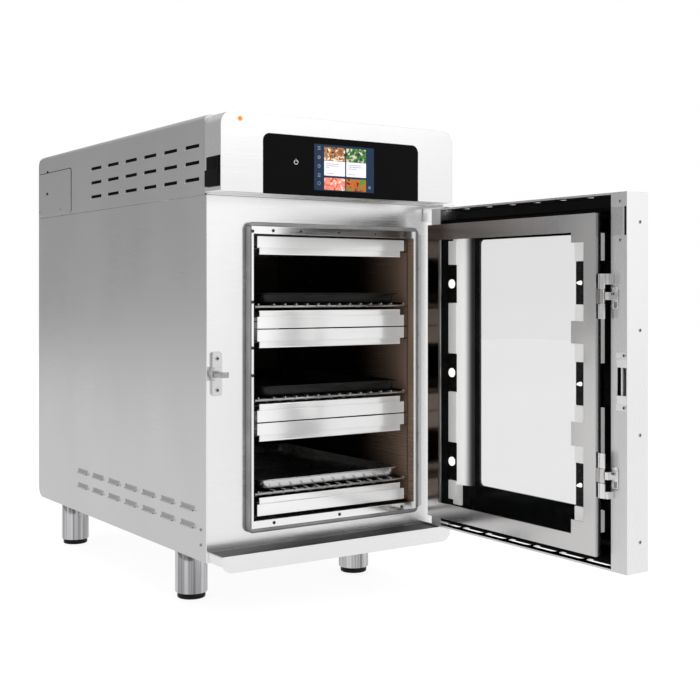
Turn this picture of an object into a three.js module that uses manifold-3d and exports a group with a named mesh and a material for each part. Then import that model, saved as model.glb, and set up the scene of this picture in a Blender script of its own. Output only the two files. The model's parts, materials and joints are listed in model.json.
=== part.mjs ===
// Three-chamber countertop combi oven with its door open.
// Millimetres, +Z up. Parts are laid out from the body's centre plane (x = 0), the front panel
// (y = 0, the front faces -Y) and the floor (z = 0). The finished group is then moved so that its
// origin is the centre of its footprint at floor height.
import * as THREE from 'three';
import { mergeVertices } from 'three/addons/utils/BufferGeometryUtils.js';
import Module from 'manifold-3d';

const wasm = await Module();
wasm.setup();

// ---------- driving dimensions ----------
const GAP = 0.4;                 // space between pieces that touch
const SHEET = 2;                 // casing sheet thickness
const BODY_HALF = 266.5;         // half the casing width
const BODY_DEPTH = 881;
const LEG_HEIGHT = 101.6;
const BODY_TOP = 924;
const COVER_SEAM = 776;          // side panels end here, the top cover begins
const CORNER_R = 25;
const FLOOR = 4;                 // the floor's height in this layout

const CAVITY_X = 13.5;           // the cooking cavity sits right of the body's centre
const CAVITY_HALF = 187;
const CAVITY_Z = 438.5;
const CAVITY_HALF_H = 268;
const CAVITY_DEPTH = 640;
const BAFFLE_Y = 520;

const CHAMBERS = 3;
const CHAMBER_PITCH = 176.5;
const STACK_TOP = 703;           // top of the first upper jet plate
const PLATE_HALF = 172;
const PLATE_H = 22;
const PLATE_DEPTH = 498;
const LIP_DROP = 34.5;           // from a plate's outer face to the end of its lip
const LOWER_PLATE_DROP = 152;    // from the upper plate's top to the lower plate's top
const SHELF_DROP = 128.5;        // from the upper plate's top to the shelf's wires
const WIRES = 12;
const WIRE_PITCH = 25;
const PAN_HALF = 165;
const PAN_DEPTH = 457;
const PAN_H = 19;
const FAN_DROP = 88;             // from the upper plate's top to the fan's axis

const HINGE = { x: 246.5, y: -59.5 };
const DOOR = { x0: 221, x1: 272, y0: -568, y1: -44, z0: 126.5, z1: 765.7 };
const LATCH_POST = 36.5;
const HINGE_POST = 28;
const DOOR_SKIN = 2;
const VENTS = 7;
const VENT_PITCH = 67.2;
const VENT_LENGTH = 60;
const VENT_WIDTH = 18;
const LATCH_Z = 448;
const LATCH_Y = -552.6;
const FRAME = { x0: 200, x1: 213, y0: -516.3, y1: -57.8, z0: 150.5, z1: 731.5 };
const WINDOW_HINGE = { x: 207, y: -525 };
const WINDOW_HINGE_HEIGHTS = [590.5, 288.5];
const LAMP_HEIGHTS = [614, 436, 258];

const BEZEL = { depth: 54, back: 8, z0: 778.5 };
const COOLING_FAN = { x: 90, z: 829, y0: 846, y1: 866 };

const LEGS = [
  ['front_left', -221.5, 150], ['rear_left', -221.5, 757],
  ['front_right', 162, 150], ['rear_right', 162, 757],
];

// ---------- materials ----------
const finish = (color, roughness, metalness) =>
  new THREE.MeshStandardMaterial({ color, roughness, metalness });
const sideSteel = () => finish(0xa9a9ab, 0.38, 0.9);
const paleSteel = () => finish(0xf0f0ef, 0.35, 0.5);
const bareSteel = () => finish(0xc4c4c4, 0.25, 1.0);
const chromed = () => finish(0xd8d8da, 0.12, 1.0);
const blackPlastic = () => finish(0x101012, 0.5, 0.0);
const blackGlass = () => finish(0x060607, 0.05, 0.1);

// ---------- solids ----------
// A closed three.js geometry as a manifold solid, with its shared corners merged.
function solid(geometry) {
  const bare = geometry.clone();
  bare.deleteAttribute('normal');
  bare.deleteAttribute('uv');
  const merged = mergeVertices(bare, 1e-4);
  return new wasm.Manifold(new wasm.Mesh({
    numProp: 3,
    vertProperties: Float32Array.from(merged.attributes.position.array),
    triVerts: Uint32Array.from(merged.index.array),
  }));
}

function block(x0, x1, y0, y1, z0, z1) {
  const geometry = new THREE.BoxGeometry(x1 - x0, y1 - y0, z1 - z0);
  geometry.translate((x0 + x1) / 2, (y0 + y1) / 2, (z0 + z1) / 2);
  return solid(geometry);
}

// Outlines are drawn in two axes and pushed along the third, from `from` to `to`.
const PLANES = {
  x: new THREE.Matrix4().makeBasis(
    new THREE.Vector3(0, 1, 0), new THREE.Vector3(0, 0, 1), new THREE.Vector3(1, 0, 0)),
  y: new THREE.Matrix4().makeBasis(
    new THREE.Vector3(1, 0, 0), new THREE.Vector3(0, 0, 1), new THREE.Vector3(0, -1, 0)),
  z: new THREE.Matrix4(),
};
function extrude(shape, axis, from, to, curveSegments = 4) {
  const options = { depth: to - from, bevelEnabled: false, steps: 1, curveSegments };
  const geometry = new THREE.ExtrudeGeometry(shape, options);
  geometry.translate(0, 0, axis === 'y' ? -to : from);
  geometry.applyMatrix4(PLANES[axis]);
  return solid(geometry);
}

function roundedRect(u0, u1, v0, v1, radii) {
  const [r0, r1, r2, r3] = Array.isArray(radii) ? radii : [radii, radii, radii, radii];
  const shape = new THREE.Shape();
  shape.moveTo(u0 + r0, v0);
  shape.lineTo(u1 - r1, v0);
  if (r1) shape.absarc(u1 - r1, v0 + r1, r1, -Math.PI / 2, 0);
  shape.lineTo(u1, v1 - r2);
  if (r2) shape.absarc(u1 - r2, v1 - r2, r2, 0, Math.PI / 2);
  shape.lineTo(u0 + r3, v1);
  if (r3) shape.absarc(u0 + r3, v1 - r3, r3, Math.PI / 2, Math.PI);
  shape.lineTo(u0, v0 + r0);
  if (r0) shape.absarc(u0 + r0, v0 + r0, r0, Math.PI, 1.5 * Math.PI);
  return shape;
}

// A cylinder along one axis between two places on it; (u, v) are the other two coordinates.
function rod(axis, u, v, radius, from, to, sides = 12) {
  const geometry = new THREE.CylinderGeometry(radius, radius, to - from, sides);
  const middle = (from + to) / 2;
  if (axis === 'x') geometry.rotateZ(Math.PI / 2).translate(middle, u, v);
  if (axis === 'y') geometry.translate(u, middle, v);
  if (axis === 'z') geometry.rotateX(Math.PI / 2).translate(u, v, middle);
  return solid(geometry);
}

const union = (parts) => parts.reduce((all, part) => all.add(part));
const cut = (base, tools) => tools.reduce((left, tool) => left.subtract(tool), base);

// A ring lying in the XZ plane (facing the front), given by its centre and half sizes.
function frontRing(cx, cz, outer, inner, y0, y1, radius) {
  const around = roundedRect(cx - outer[0], cx + outer[0], cz - outer[1], cz + outer[1], radius);
  const hole = block(cx - inner[0], cx + inner[0], y0 - 1, y1 + 1, cz - inner[1], cz + inner[1]);
  return extrude(around, 'y', y0, y1).subtract(hole);
}

const oven = new THREE.Group();
oven.name = 'combi_oven';

function piece(name, body, material, parent = oven) {
  const mesh = body.getMesh();
  const geometry = new THREE.BufferGeometry();
  geometry.setAttribute('position', new THREE.BufferAttribute(mesh.vertProperties, 3));
  geometry.setIndex(new THREE.BufferAttribute(mesh.triVerts, 1));
  geometry.computeVertexNormals();
  const node = new THREE.Mesh(geometry, material);
  node.name = name;
  parent.add(node);
}

// ---------- casing ----------
const SLOT = { columns: 6, pitch: 92.4, first: 57, length: 56, rows: [868.5, 837.6, 806.7], height: 6.6 };
const LOUVRE = { columns: 7, pitch: 86.6, first: 75, length: 56, rows: [194.5, 162.5], height: 9 };

function sideSlots(side) {
  const tools = [];
  for (let column = 0; column < SLOT.columns; column += 1) {
    const middle = SLOT.first + column * SLOT.pitch;
    for (const z of SLOT.rows) {
      tools.push(block(side * BODY_HALF - 4, side * BODY_HALF + 4,
        middle - SLOT.length / 2, middle + SLOT.length / 2, z - SLOT.height / 2, z + SLOT.height / 2));
    }
  }
  return tools;
}

function sidePanel(side) {
  const inner = side * (BODY_HALF - SHEET);
  const outer = side * BODY_HALF;
  const outline = roundedRect(SHEET + GAP, BODY_DEPTH, LEG_HEIGHT, COVER_SEAM - GAP, [0, CORNER_R, 0, 0]);
  let panel = extrude(outline, 'x', Math.min(inner, outer), Math.max(inner, outer));
  for (let column = 0; column < LOUVRE.columns; column += 1) {
    const middle = LOUVRE.first + column * LOUVRE.pitch;
    for (const z of LOUVRE.rows) {
      const mouth = block(side * BODY_HALF - 4, side * BODY_HALF + 4,
        middle - LOUVRE.length / 2, middle + LOUVRE.length / 2, z - LOUVRE.height / 2, z);
      panel = panel.subtract(mouth);
    }
  }
  return panel;
}

function topCover() {
  const outside = roundedRect(-BODY_HALF, BODY_HALF, COVER_SEAM, BODY_TOP, [0, 0, 12, 12]);
  const shell = extrude(outside, 'y', BEZEL.back, BODY_DEPTH).subtract(
    block(-BODY_HALF + SHEET, BODY_HALF - SHEET, -1, BODY_DEPTH + 1, COVER_SEAM - 1, BODY_TOP - SHEET - 8));
  const hollow = roundedRect(-BODY_HALF + SHEET, BODY_HALF - SHEET, COVER_SEAM + 20, BODY_TOP - SHEET, [0, 0, 10, 10]);
  const sideView = roundedRect(-1, BODY_DEPTH, COVER_SEAM, BODY_TOP, [0, 0, CORNER_R, 0]);
  return cut(shell, [extrude(hollow, 'y', -1, BODY_DEPTH + 1), ...sideSlots(-1), ...sideSlots(1)])
    .intersect(extrude(sideView, 'x', -BODY_HALF - 1, BODY_HALF + 1));
}

// The rear sheet follows the rounded rear corners, just inside the side panels.
function backPanel() {
  const curl = (inset) => {
    const r = CORNER_R - inset;
    return extrude(roundedRect(-100, BODY_DEPTH - inset, LEG_HEIGHT + inset, BODY_TOP - inset, [0, r, r, 0]),
      'x', -BODY_HALF, BODY_HALF);
  };
  const inset = SHEET + GAP;
  const edge = BODY_HALF - inset;
  const within = roundedRect(-edge, edge, LEG_HEIGHT, BODY_TOP - inset, [0, 0, 10, 10]);
  const sheet = curl(inset).subtract(curl(inset + SHEET))
    .intersect(extrude(within, 'y', BODY_DEPTH - CORNER_R - 2, BODY_DEPTH));
  const tools = [rod('y', -190, 190, 14, 850, 900, 12)];
  for (let row = 0; row < 6; row += 1) {
    for (const x of [-110, 110]) {
      const z = 300 + row * 24;
      tools.push(block(x - 55, x + 55, 850, 900, z - 4, z + 4));
    }
    const slotZ = COOLING_FAN.z - 38 + row * 14;
    tools.push(block(COOLING_FAN.x - 50, COOLING_FAN.x + 50, 850, 900, slotZ, slotZ + 6));
  }
  const fanBoss = rod('y', COOLING_FAN.x, COOLING_FAN.z, 14, COOLING_FAN.y1 + GAP, BODY_DEPTH - inset - 1, 12);
  return cut(sheet, tools).add(fanBoss);
}

function basePan() {
  const edge = BODY_HALF - SHEET - GAP;
  const rear = BODY_DEPTH - CORNER_R - 3;
  return block(-edge, edge, SHEET + GAP, rear, LEG_HEIGHT, LEG_HEIGHT + 20).subtract(
    block(-edge + SHEET, edge - SHEET, 2 * SHEET + GAP, rear - SHEET, LEG_HEIGHT + SHEET, LEG_HEIGHT + 30));
}

function frontPanel() {
  const plate = block(-BODY_HALF, BODY_HALF, 0, SHEET, LEG_HEIGHT, COVER_SEAM - GAP);
  return plate.subtract(block(CAVITY_X - 191, CAVITY_X + 191, -1, SHEET + 1, CAVITY_Z - 273, CAVITY_Z + 273));
}

function dripLedge() {
  const half = BODY_HALF - 3.8;
  const top = 122;
  const bottom = 91;
  const shell = extrude(roundedRect(-half, half, bottom, top, [22, 22, 2, 2]), 'y', -53, -GAP);
  const hollow = roundedRect(-half + SHEET, half - SHEET, bottom - 4, top - SHEET, [20, 20, 0, 0]);
  const room = extrude(hollow, 'y', -53 + SHEET, 1);
  return shell.subtract(room).subtract(block(-half + 24, half - 24, -45, 1, bottom - 1, bottom + 4));
}

// ---------- control head ----------
const GLASS = { half: 178, z1: 889, front: -54.3, back: -51.4 };
const FLAP = { y0: -52, y1: -1, z0: 789, z1: 843 };

function controlBezel() {
  const face = roundedRect(-BODY_HALF, BODY_HALF, BEZEL.z0, BODY_TOP, [3, 3, CORNER_R, CORNER_R]);
  const room = roundedRect(-BODY_HALF + 3, BODY_HALF - 3, BEZEL.z0 + 3, BODY_TOP - 3, [0, 0, 22, 22]);
  const pocket = roundedRect(-GLASS.half - GAP, GLASS.half + GAP, BEZEL.z0 - 1, GLASS.z1 + GAP, [0, 0, 14, 14]);
  return cut(extrude(face, 'y', -BEZEL.depth, BEZEL.back - GAP), [
    extrude(room, 'y', -BEZEL.depth + 6, BEZEL.back + 1),
    extrude(pocket, 'y', -BEZEL.depth - 1, GLASS.back + GAP),
    block(-BODY_HALF - 1, -BODY_HALF + 1.6, FLAP.y0 - GAP, FLAP.y1 + GAP, FLAP.z0 - GAP, FLAP.z1 + GAP),
    block(-BODY_HALF - 1, -BODY_HALF + 5, -38, -18, 797, 812),
  ]);
}

function displayGlass() {
  const outline = roundedRect(-GLASS.half, GLASS.half, BEZEL.z0, GLASS.z1, [0, 0, 14, 14]);
  return extrude(outline, 'y', GLASS.front, GLASS.back);
}

function portCover() {
  const low = block(-BODY_HALF - 5, -BODY_HALF + 1.2, FLAP.y0, FLAP.y1, FLAP.z0, 819);
  return low.add(block(-BODY_HALF - 3, -BODY_HALF + 1.2, FLAP.y0 + 2, FLAP.y1 - 3, 818, FLAP.z1));
}

piece('base_pan', basePan(), sideSteel());
piece('left_side_panel', sidePanel(-1), sideSteel());
piece('right_side_panel', sidePanel(1), sideSteel());
piece('top_cover', topCover(), sideSteel());
piece('back_panel', backPanel(), sideSteel());
piece('front_panel', frontPanel(), paleSteel());
piece('drip_ledge', dripLedge(), paleSteel());
piece('control_bezel', controlBezel(), paleSteel());
piece('display_glass', displayGlass(), blackGlass());
piece('port_cover', portCover(), blackPlastic());

// ---------- legs ----------
const LEG_R = 32;
const FOOT_R = 28;
const FOOT_TOP = 14;
const STEM_TOP = 62;

function turned(profile, segments) {
  const points = profile.map(([r, z]) => new THREE.Vector2(r, z));
  return solid(new THREE.LatheGeometry(points, segments).rotateX(Math.PI / 2));
}

for (const [corner, x, y] of LEGS) {
  const low = FOOT_TOP + GAP;
  const leg = turned([[0, 78], [13, 78], [13, low], [LEG_R - 2, low], [LEG_R, low + 2],
    [LEG_R, LEG_HEIGHT - GAP], [0, LEG_HEIGHT - GAP]], 18);
  const foot = turned([[0, FLOOR], [FOOT_R - 2, FLOOR], [FOOT_R, FLOOR + 2], [FOOT_R, FOOT_TOP],
    [12, FOOT_TOP], [12, STEM_TOP], [0, STEM_TOP]], 18);
  piece(`leg_${corner}`, leg.translate([x, y, 0]), chromed());
  piece(`foot_${corner}`, foot.translate([x, y, 0]), blackPlastic());
}

// ---------- cooking cavity ----------
const chamberTop = (chamber) => STACK_TOP - chamber * CHAMBER_PITCH;
const fanZ = (chamber) => chamberTop(chamber) - FAN_DROP;
const chambers = [...Array(CHAMBERS).keys()];

// The liner is a box open at the front, welded to the frame that stands 11 mm out of the front panel.
function cavityLiner() {
  const inner = [CAVITY_HALF - 0.5, CAVITY_HALF_H - 0.5];
  const frame = block(CAVITY_X - 192, CAVITY_X + 192, -11, -GAP, CAVITY_Z - 282.5, CAVITY_Z + 282.5).subtract(
    block(CAVITY_X - inner[0], CAVITY_X + inner[0], -12, 0, CAVITY_Z - inner[1], CAVITY_Z + inner[1]));
  const shell = block(CAVITY_X - 189, CAVITY_X + 189, -1, CAVITY_DEPTH,
    CAVITY_Z - CAVITY_HALF_H - 2, CAVITY_Z + CAVITY_HALF_H + 2);
  const room = block(CAVITY_X - CAVITY_HALF, CAVITY_X + CAVITY_HALF, -20, CAVITY_DEPTH - 2,
    CAVITY_Z - CAVITY_HALF_H, CAVITY_Z + CAVITY_HALF_H);
  const shaftHoles = chambers.map((c) => rod('y', CAVITY_X, fanZ(c), 9, 600, 700, 10));
  return cut(frame.add(shell), [room, ...shaftHoles]);
}

function insulation() {
  const wool = 22;
  const half = 189 + GAP;
  const halfH = CAVITY_HALF_H + 2 + GAP;
  const outer = block(CAVITY_X - half - wool, CAVITY_X + half + wool, 3, CAVITY_DEPTH + wool,
    CAVITY_Z - halfH - wool, CAVITY_Z + halfH + wool);
  const shaftHoles = chambers.map((c) => rod('y', CAVITY_X, fanZ(c), 12, 600, 700, 10));
  return cut(outer, [block(CAVITY_X - half, CAVITY_X + half, 0, CAVITY_DEPTH + GAP,
    CAVITY_Z - halfH, CAVITY_Z + halfH), ...shaftHoles]);
}

function rackRail(side) {
  const wall = CAVITY_X + side * (CAVITY_HALF - 1.5);
  const along = (x0, x1, z0, z1) =>
    block(Math.min(x0, x1), Math.max(x0, x1), 8, BAFFLE_Y - 4, z0, z1);
  const parts = [along(wall, wall - side * 2, 175, 703)];
  for (const chamber of chambers) {
    const top = chamberTop(chamber);
    const ledge = CAVITY_X + side * 168;
    for (const drop of [PLATE_H + GAP, LOWER_PLATE_DROP + PLATE_H + GAP, SHELF_DROP + 6]) {
      parts.push(along(wall, ledge, top - drop - 1.8, top - drop));
    }
  }
  return union(parts);
}

function rearBaffle() {
  const plate = block(CAVITY_X - 186, CAVITY_X + 186, BAFFLE_Y, BAFFLE_Y + SHEET, CAVITY_Z - 267, CAVITY_Z + 267);
  const holes = [];
  for (const chamber of chambers) {
    holes.push(rod('y', CAVITY_X, fanZ(chamber), 10, 500, 540, 6));
    for (let k = 0; k < 6; k += 1) {
      const angle = (k * Math.PI) / 3;
      holes.push(rod('y', CAVITY_X + 30 * Math.cos(angle), fanZ(chamber) + 30 * Math.sin(angle), 10, 500, 540, 6));
    }
  }
  return cut(plate, holes);
}

// A folded jet plate: a front wall, a perforated sheet and a lip that stands into the chamber.
function jetPlate(chamber, up) {
  const top = chamberTop(chamber) - (up ? 0 : LOWER_PLATE_DROP);
  const bottom = top - PLATE_H;
  const sheetZ = up ? bottom : top - SHEET;
  const lip = up ? [chamberTop(chamber) - LIP_DROP, bottom + 1] : [top - 1, top + LIP_DROP - PLATE_H - 1];
  const parts = [
    block(CAVITY_X - PLATE_HALF, CAVITY_X + PLATE_HALF, 2, 4, bottom, top),
    block(CAVITY_X - PLATE_HALF, CAVITY_X + PLATE_HALF, 2, PLATE_DEPTH, sheetZ, sheetZ + SHEET),
    block(CAVITY_X - PLATE_HALF, CAVITY_X + PLATE_HALF, PLATE_DEPTH - 2, PLATE_DEPTH, bottom, top),
    block(CAVITY_X - 165, CAVITY_X + 165, 6, 8, ...lip),
  ];
  const holes = [];
  for (let row = 0; row < 4; row += 1) {
    for (let column = 0; column < 3; column += 1) {
      holes.push(rod('z', CAVITY_X - 110 + column * 110, 70 + row * 115, 9, sheetZ - 1, sheetZ + SHEET + 1, 6));
    }
  }
  return cut(union(parts), holes);
}

function wireShelf(chamber) {
  const wireZ = chamberTop(chamber) - SHELF_DROP;
  const parts = [];
  for (const y of [6, 470]) {
    parts.push(block(CAVITY_X - 176, CAVITY_X + 176, y - 2.5, y + 2.5, wireZ - 5.8, wireZ - 1));
  }
  for (let wire = 0; wire < WIRES; wire += 1) {
    const x = CAVITY_X + (wire - (WIRES - 1) / 2) * WIRE_PITCH;
    parts.push(block(x - 1.8, x + 1.8, -3, 478, wireZ - 1.8, wireZ + 1.8));
  }
  return union(parts);
}

function pan(chamber) {
  const bottom = chamberTop(chamber) - SHELF_DROP + 2 + GAP;
  const rim = bottom + PAN_H;
  const plan = (half, front, rear, r) => roundedRect(CAVITY_X - half, CAVITY_X + half, front, rear, r);
  const dish = extrude(plan(PAN_HALF - 5, 7, PAN_DEPTH - 5, 18), 'z', bottom, rim, 3);
  const edge = extrude(plan(PAN_HALF, 2, PAN_DEPTH, 22), 'z', rim - 2.5, rim, 3);
  const room = extrude(plan(PAN_HALF - 7, 9, PAN_DEPTH - 7, 16), 'z', bottom + 1.6, rim + 1, 3);
  return dish.add(edge).subtract(room);
}

function fanWheel(chamber) {
  const z = fanZ(chamber);
  const parts = [
    rod('y', CAVITY_X, z, 66, 604, 607, 24),
    rod('y', CAVITY_X, z, 6, 562, 690, 10),
    rod('y', CAVITY_X, z, 18, 596, 605, 14),
  ];
  for (let blade = 0; blade < 8; blade += 1) {
    const vane = block(40, 64, 566, 605, -1, 1).rotate([0, blade * 45, 0]);
    parts.push(vane.translate([CAVITY_X, 0, z]));
  }
  return union(parts);
}

function fanMotor(chamber) {
  const z = fanZ(chamber);
  const start = CAVITY_DEPTH + 22 + 2 * GAP;
  const can = rod('y', CAVITY_X, z, 56, start, start + 5, 20).add(rod('y', CAVITY_X, z, 44, start + 4, 762, 20));
  return can.subtract(rod('y', CAVITY_X, z, 7.5, start - 1, 700, 12));
}

// A round tubular element about the fan wheel, with two terminals that point to the rear.
function heater(chamber) {
  const profile = [];
  for (let k = 0; k <= 6; k += 1) {
    const angle = (k * Math.PI) / 3;
    profile.push(new THREE.Vector2(76 + 4 * Math.cos(angle), 4 * Math.sin(angle)));
  }
  const ring = solid(new THREE.LatheGeometry(profile, 18)).translate([CAVITY_X, 548, fanZ(chamber)]);
  const terminals = [-20, 20].map((dx) =>
    rod('y', CAVITY_X + dx, fanZ(chamber) + Math.sqrt(76 ** 2 - dx ** 2), 3, 548, 637, 6));
  return union([ring, ...terminals]);
}

piece('cavity_liner', cavityLiner(), bareSteel());
piece('insulation', insulation(), finish(0xd9d2b8, 1, 0));
piece('door_gasket', frontRing(CAVITY_X, CAVITY_Z, [200.5, 290.5], [192 + GAP, 282.5 + GAP], -12.5, -GAP, 8),
  finish(0x2a2a2a, 0.8, 0));
piece('left_rack_rail', rackRail(-1), bareSteel());
piece('right_rack_rail', rackRail(1), bareSteel());
piece('rear_baffle', rearBaffle(), bareSteel());
for (const chamber of chambers) {
  const n = chamber + 1;
  const darkPan = finish(0x26221f, 0.6, 0.3);
  const brightPan = finish(0xc9c9c9, 0.35, 0.9);
  piece(`upper_jet_plate_${n}`, jetPlate(chamber, true), bareSteel());
  piece(`lower_jet_plate_${n}`, jetPlate(chamber, false), bareSteel());
  piece(`wire_shelf_${n}`, wireShelf(chamber), chromed());
  piece(`pan_${n}`, pan(chamber), chamber < 2 ? darkPan : brightPan);
  piece(`fan_wheel_${n}`, fanWheel(chamber), bareSteel());
  piece(`fan_motor_${n}`, fanMotor(chamber), finish(0x3a3a3c, 0.5, 0.8));
  piece(`heating_element_${n}`, heater(chamber), finish(0x4a4340, 0.6, 0.6));
}

// ---------- electronics cooling ----------
function coolingFan() {
  const { x, z, y0, y1 } = COOLING_FAN;
  const parts = [rod('y', x, z, 16, y0, y1, 14)];
  for (let blade = 0; blade < 7; blade += 1) {
    const vane = block(12, 46, y0 + 4, y1 - 4, -1.2, 1.2).rotate([0, (blade * 360) / 7, 0]);
    parts.push(vane.translate([x, 0, z]));
  }
  return union(parts);
}
piece('cooling_fan', coolingFan(), blackPlastic());

// ---------- door catch on the front panel ----------
// A sprung hook turns on a pin between two ears and holds the door's striker bar.
const CATCH = { x: HINGE.x + LATCH_Y - HINGE.y, pivotX: -254, pivotY: -14, hookHalf: 5 };

function catchBlock() {
  const plate = extrude(roundedRect(CATCH.x - 10.5, CATCH.x + 9, LATCH_Z - 41, LATCH_Z + 41, 6), 'y', -6, -GAP);
  const ears = [-1, 1].map((side) => {
    const z = LATCH_Z + side * 9;
    return block(CATCH.pivotX - 5, CATCH.pivotX + 5, CATCH.pivotY - 5, -5, z - 3.4, z + 3.4);
  });
  return union([plate, ...ears, rod('z', CATCH.pivotX, CATCH.pivotY, 2, LATCH_Z - 8, LATCH_Z + 8, 10)]);
}

function catchHook() {
  const { pivotX, pivotY, hookHalf } = CATCH;
  const low = LATCH_Z - hookHalf;
  const high = LATCH_Z + hookHalf;
  const arm = block(pivotX - 4, pivotX + 2.5, -45.5, pivotY, low, high);
  const nose = block(pivotX - 4, CATCH.x + 2, -45.5, -41.5, low, high);
  return union([rod('z', pivotX, pivotY, 5, low, high, 12), arm, nose])
    .subtract(rod('z', pivotX, pivotY, 2.4, low - 1, high + 1, 10));
}
piece('catch_block', catchBlock(), bareSteel());
piece('catch_hook', catchHook(), bareSteel());

// ---------- door hinges ----------
function doorHinge(z0, z1, pin0, pin1) {
  const arm = block(HINGE.x - 15, HINGE.x + 15, HINGE.y - 8, -GAP, z0, z1);
  const foot = block(HINGE.x - 15, HINGE.x + 15, -4, -GAP, z0 - (pin0 < z0 ? 26 : 0), z1);
  const pin = rod('z', HINGE.x, HINGE.y, 5, pin0, pin1, 14);
  return union([arm, foot, pin]);
}
piece('top_hinge', doorHinge(768.5, 774.5, 748, 770), bareSteel());
piece('bottom_hinge', doorHinge(122 + GAP, 125.8, 124, 146), bareSteel());

// ---------- door ----------
const door = new THREE.Group();
oven.add(door);

function doorShell() {
  const { x0, x1, y0, y1, z0, z1 } = DOOR;
  const wall = 3.6;
  const tools = [
    block(x0 - 1, x1 - DOOR_SKIN, y0 + LATCH_POST, y1 - HINGE_POST, z0 + wall, z1 - wall),
    extrude(roundedRect(-514, -88, 158, 722, 12), 'x', x0, x1 + 1),
    block(x0 + 2, x1 - 2, y0 + 2, y0 + LATCH_POST - 2, z0 + 2, z1 - 2),
    block(x0 + 2, x1 - 2, y1 - HINGE_POST + 2, y1 - 2, z0 + 2, z1 - 2),
    block(x0 - 1, x0 + 4, y0 + 2.5, LATCH_Y + 7.6, LATCH_Z - 26, LATCH_Z + 26),
    rod('z', HINGE.x, HINGE.y, 5.6, z0 - 1, z1 + 1, 14),
  ];
  const middle = (VENTS - 1) / 2;
  for (let vent = 0; vent < VENTS; vent += 1) {
    const y = -282.3 + (vent - middle) * VENT_PITCH;
    const shape = roundedRect(237, 237 + VENT_WIDTH, y - VENT_LENGTH / 2, y + VENT_LENGTH / 2, 8.9);
    tools.push(extrude(shape, 'z', z0 - 1, z0 + wall + 1, 2));
    tools.push(extrude(shape, 'z', z1 - wall - 1, z1 + 1, 2));
  }
  return cut(block(x0, x1, y0, y1, z0, z1), tools);
}

// A pull bar on two posts, on the outer face near the latch edge.
function doorHandle() {
  const y = -503;
  const bar = extrude(roundedRect(304, 316, y - 11, y + 11, 5), 'z', 300, 600);
  const posts = [330, 570].map((z) => rod('x', y, z, 7, DOOR.x1 + GAP, 306, 14));
  return union([bar, ...posts]);
}

// A folded bracket in the latch pocket with the upright bar that the hook takes hold of.
function strikerBar() {
  const y0 = LATCH_Y - 9;
  const y1 = LATCH_Y + 7;
  const half = 25.5;
  const ends = [-1, 1].map((side) => {
    const z = LATCH_Z + side * half;
    const [low, high] = side > 0 ? [z - SHEET, LATCH_Z + 38] : [LATCH_Z - 38, z + SHEET];
    return block(DOOR.x0 - GAP - 1.2, DOOR.x0 - GAP, DOOR.y0 + 0.5, y1, low, high).add(
      block(DOOR.x0 - GAP - 1.2, 238, y0, y1, Math.min(z, z - side * SHEET), Math.max(z, z - side * SHEET)));
  });
  const back = block(236, 238, y0, y1, LATCH_Z - half, LATCH_Z + half);
  return union([...ends, back, rod('z', 225.5, LATCH_Y, 2.2, LATCH_Z - half + 1, LATCH_Z + half - 1, 12)]);
}

function lampBar(y, out) {
  const fin = y + out * 11;
  const parts = [block(252, 258, y - 13, y + 13, 170, 722), block(246, 253, fin - 2, fin + 2, 170, 722)];
  for (const z of LAMP_HEIGHTS) {
    parts.push(block(238, 253, y - 12, y + 12, z - 38, z + 38));
    parts.push(rod('x', y, z, 9, 230, 240, 14));
  }
  return union(parts);
}

piece('door_shell', doorShell(), paleSteel(), door);
piece('outer_glass', block(265, DOOR.x1 - DOOR_SKIN - GAP, -530.5, -73.5, 142, 740), blackGlass(), door);
piece('door_handle', doorHandle(), bareSteel(), door);
piece('striker_bar', strikerBar(), bareSteel(), door);
piece('lamp_bar_hinge_side', lampBar(-86.5, 1), finish(0xf4f4f2, 0.4, 0), door);
piece('lamp_bar_latch_side', lampBar(-440, -1), finish(0xf4f4f2, 0.4, 0), door);

// ---------- inner window ----------
const innerWindow = new THREE.Group();
oven.add(innerWindow);

function innerFrame() {
  const { x0, x1, y0, y1, z0, z1 } = FRAME;
  const rim = block(x0, x1, y0, y1, z0, z1)
    .subtract(block(x0 + SHEET, x1 + 1, y0 + SHEET, y1 - SHEET, z0 + SHEET, z1 - SHEET));
  const view = block(x0 - 1, x1 + 1, y0 + 28, y1 - 34.4, z0 + 30.5, z1 - 31);
  const tabs = [[683, z1 - 20], [509, 548], [333, 374], [z0 + 20, z0 + 55]].map(([low, high]) =>
    block(x0, x0 + SHEET, y0 + 10, -458.6, low, high));
  const knuckles = WINDOW_HINGE_HEIGHTS.map((z) => {
    const leaf = block(WINDOW_HINGE.x - 2, WINDOW_HINGE.x + 2, WINDOW_HINGE.y, y0 + 1, z - 12, z + 12);
    const bore = rod('z', WINDOW_HINGE.x, WINDOW_HINGE.y, 2.6, z - 20, z + 20, 12);
    return rod('z', WINDOW_HINGE.x, WINDOW_HINGE.y, 5, z - 12, z + 12, 14).add(leaf).subtract(bore);
  });
  return union([rim.subtract(view), ...tabs, ...knuckles]);
}

// The leaf screwed to the door's flange: two outer knuckles and the pin through them.
function windowHinge(z) {
  const { x, y } = WINDOW_HINGE;
  const ends = [[z - 38, z - 12 - GAP], [z + 12 + GAP, z + 38]].map(([low, high]) =>
    rod('z', x, y, 5, low, high, 14).add(block(x - 2, DOOR.x0 - GAP, y - 5, y - 1, low, high)));
  const leaf = block(DOOR.x0 - 2.4, DOOR.x0 - GAP, y - 22, y - 1, z - 38, z + 38);
  return union([...ends, leaf, rod('z', x, y, 2, z - 36, z + 36, 12)]);
}

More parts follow.
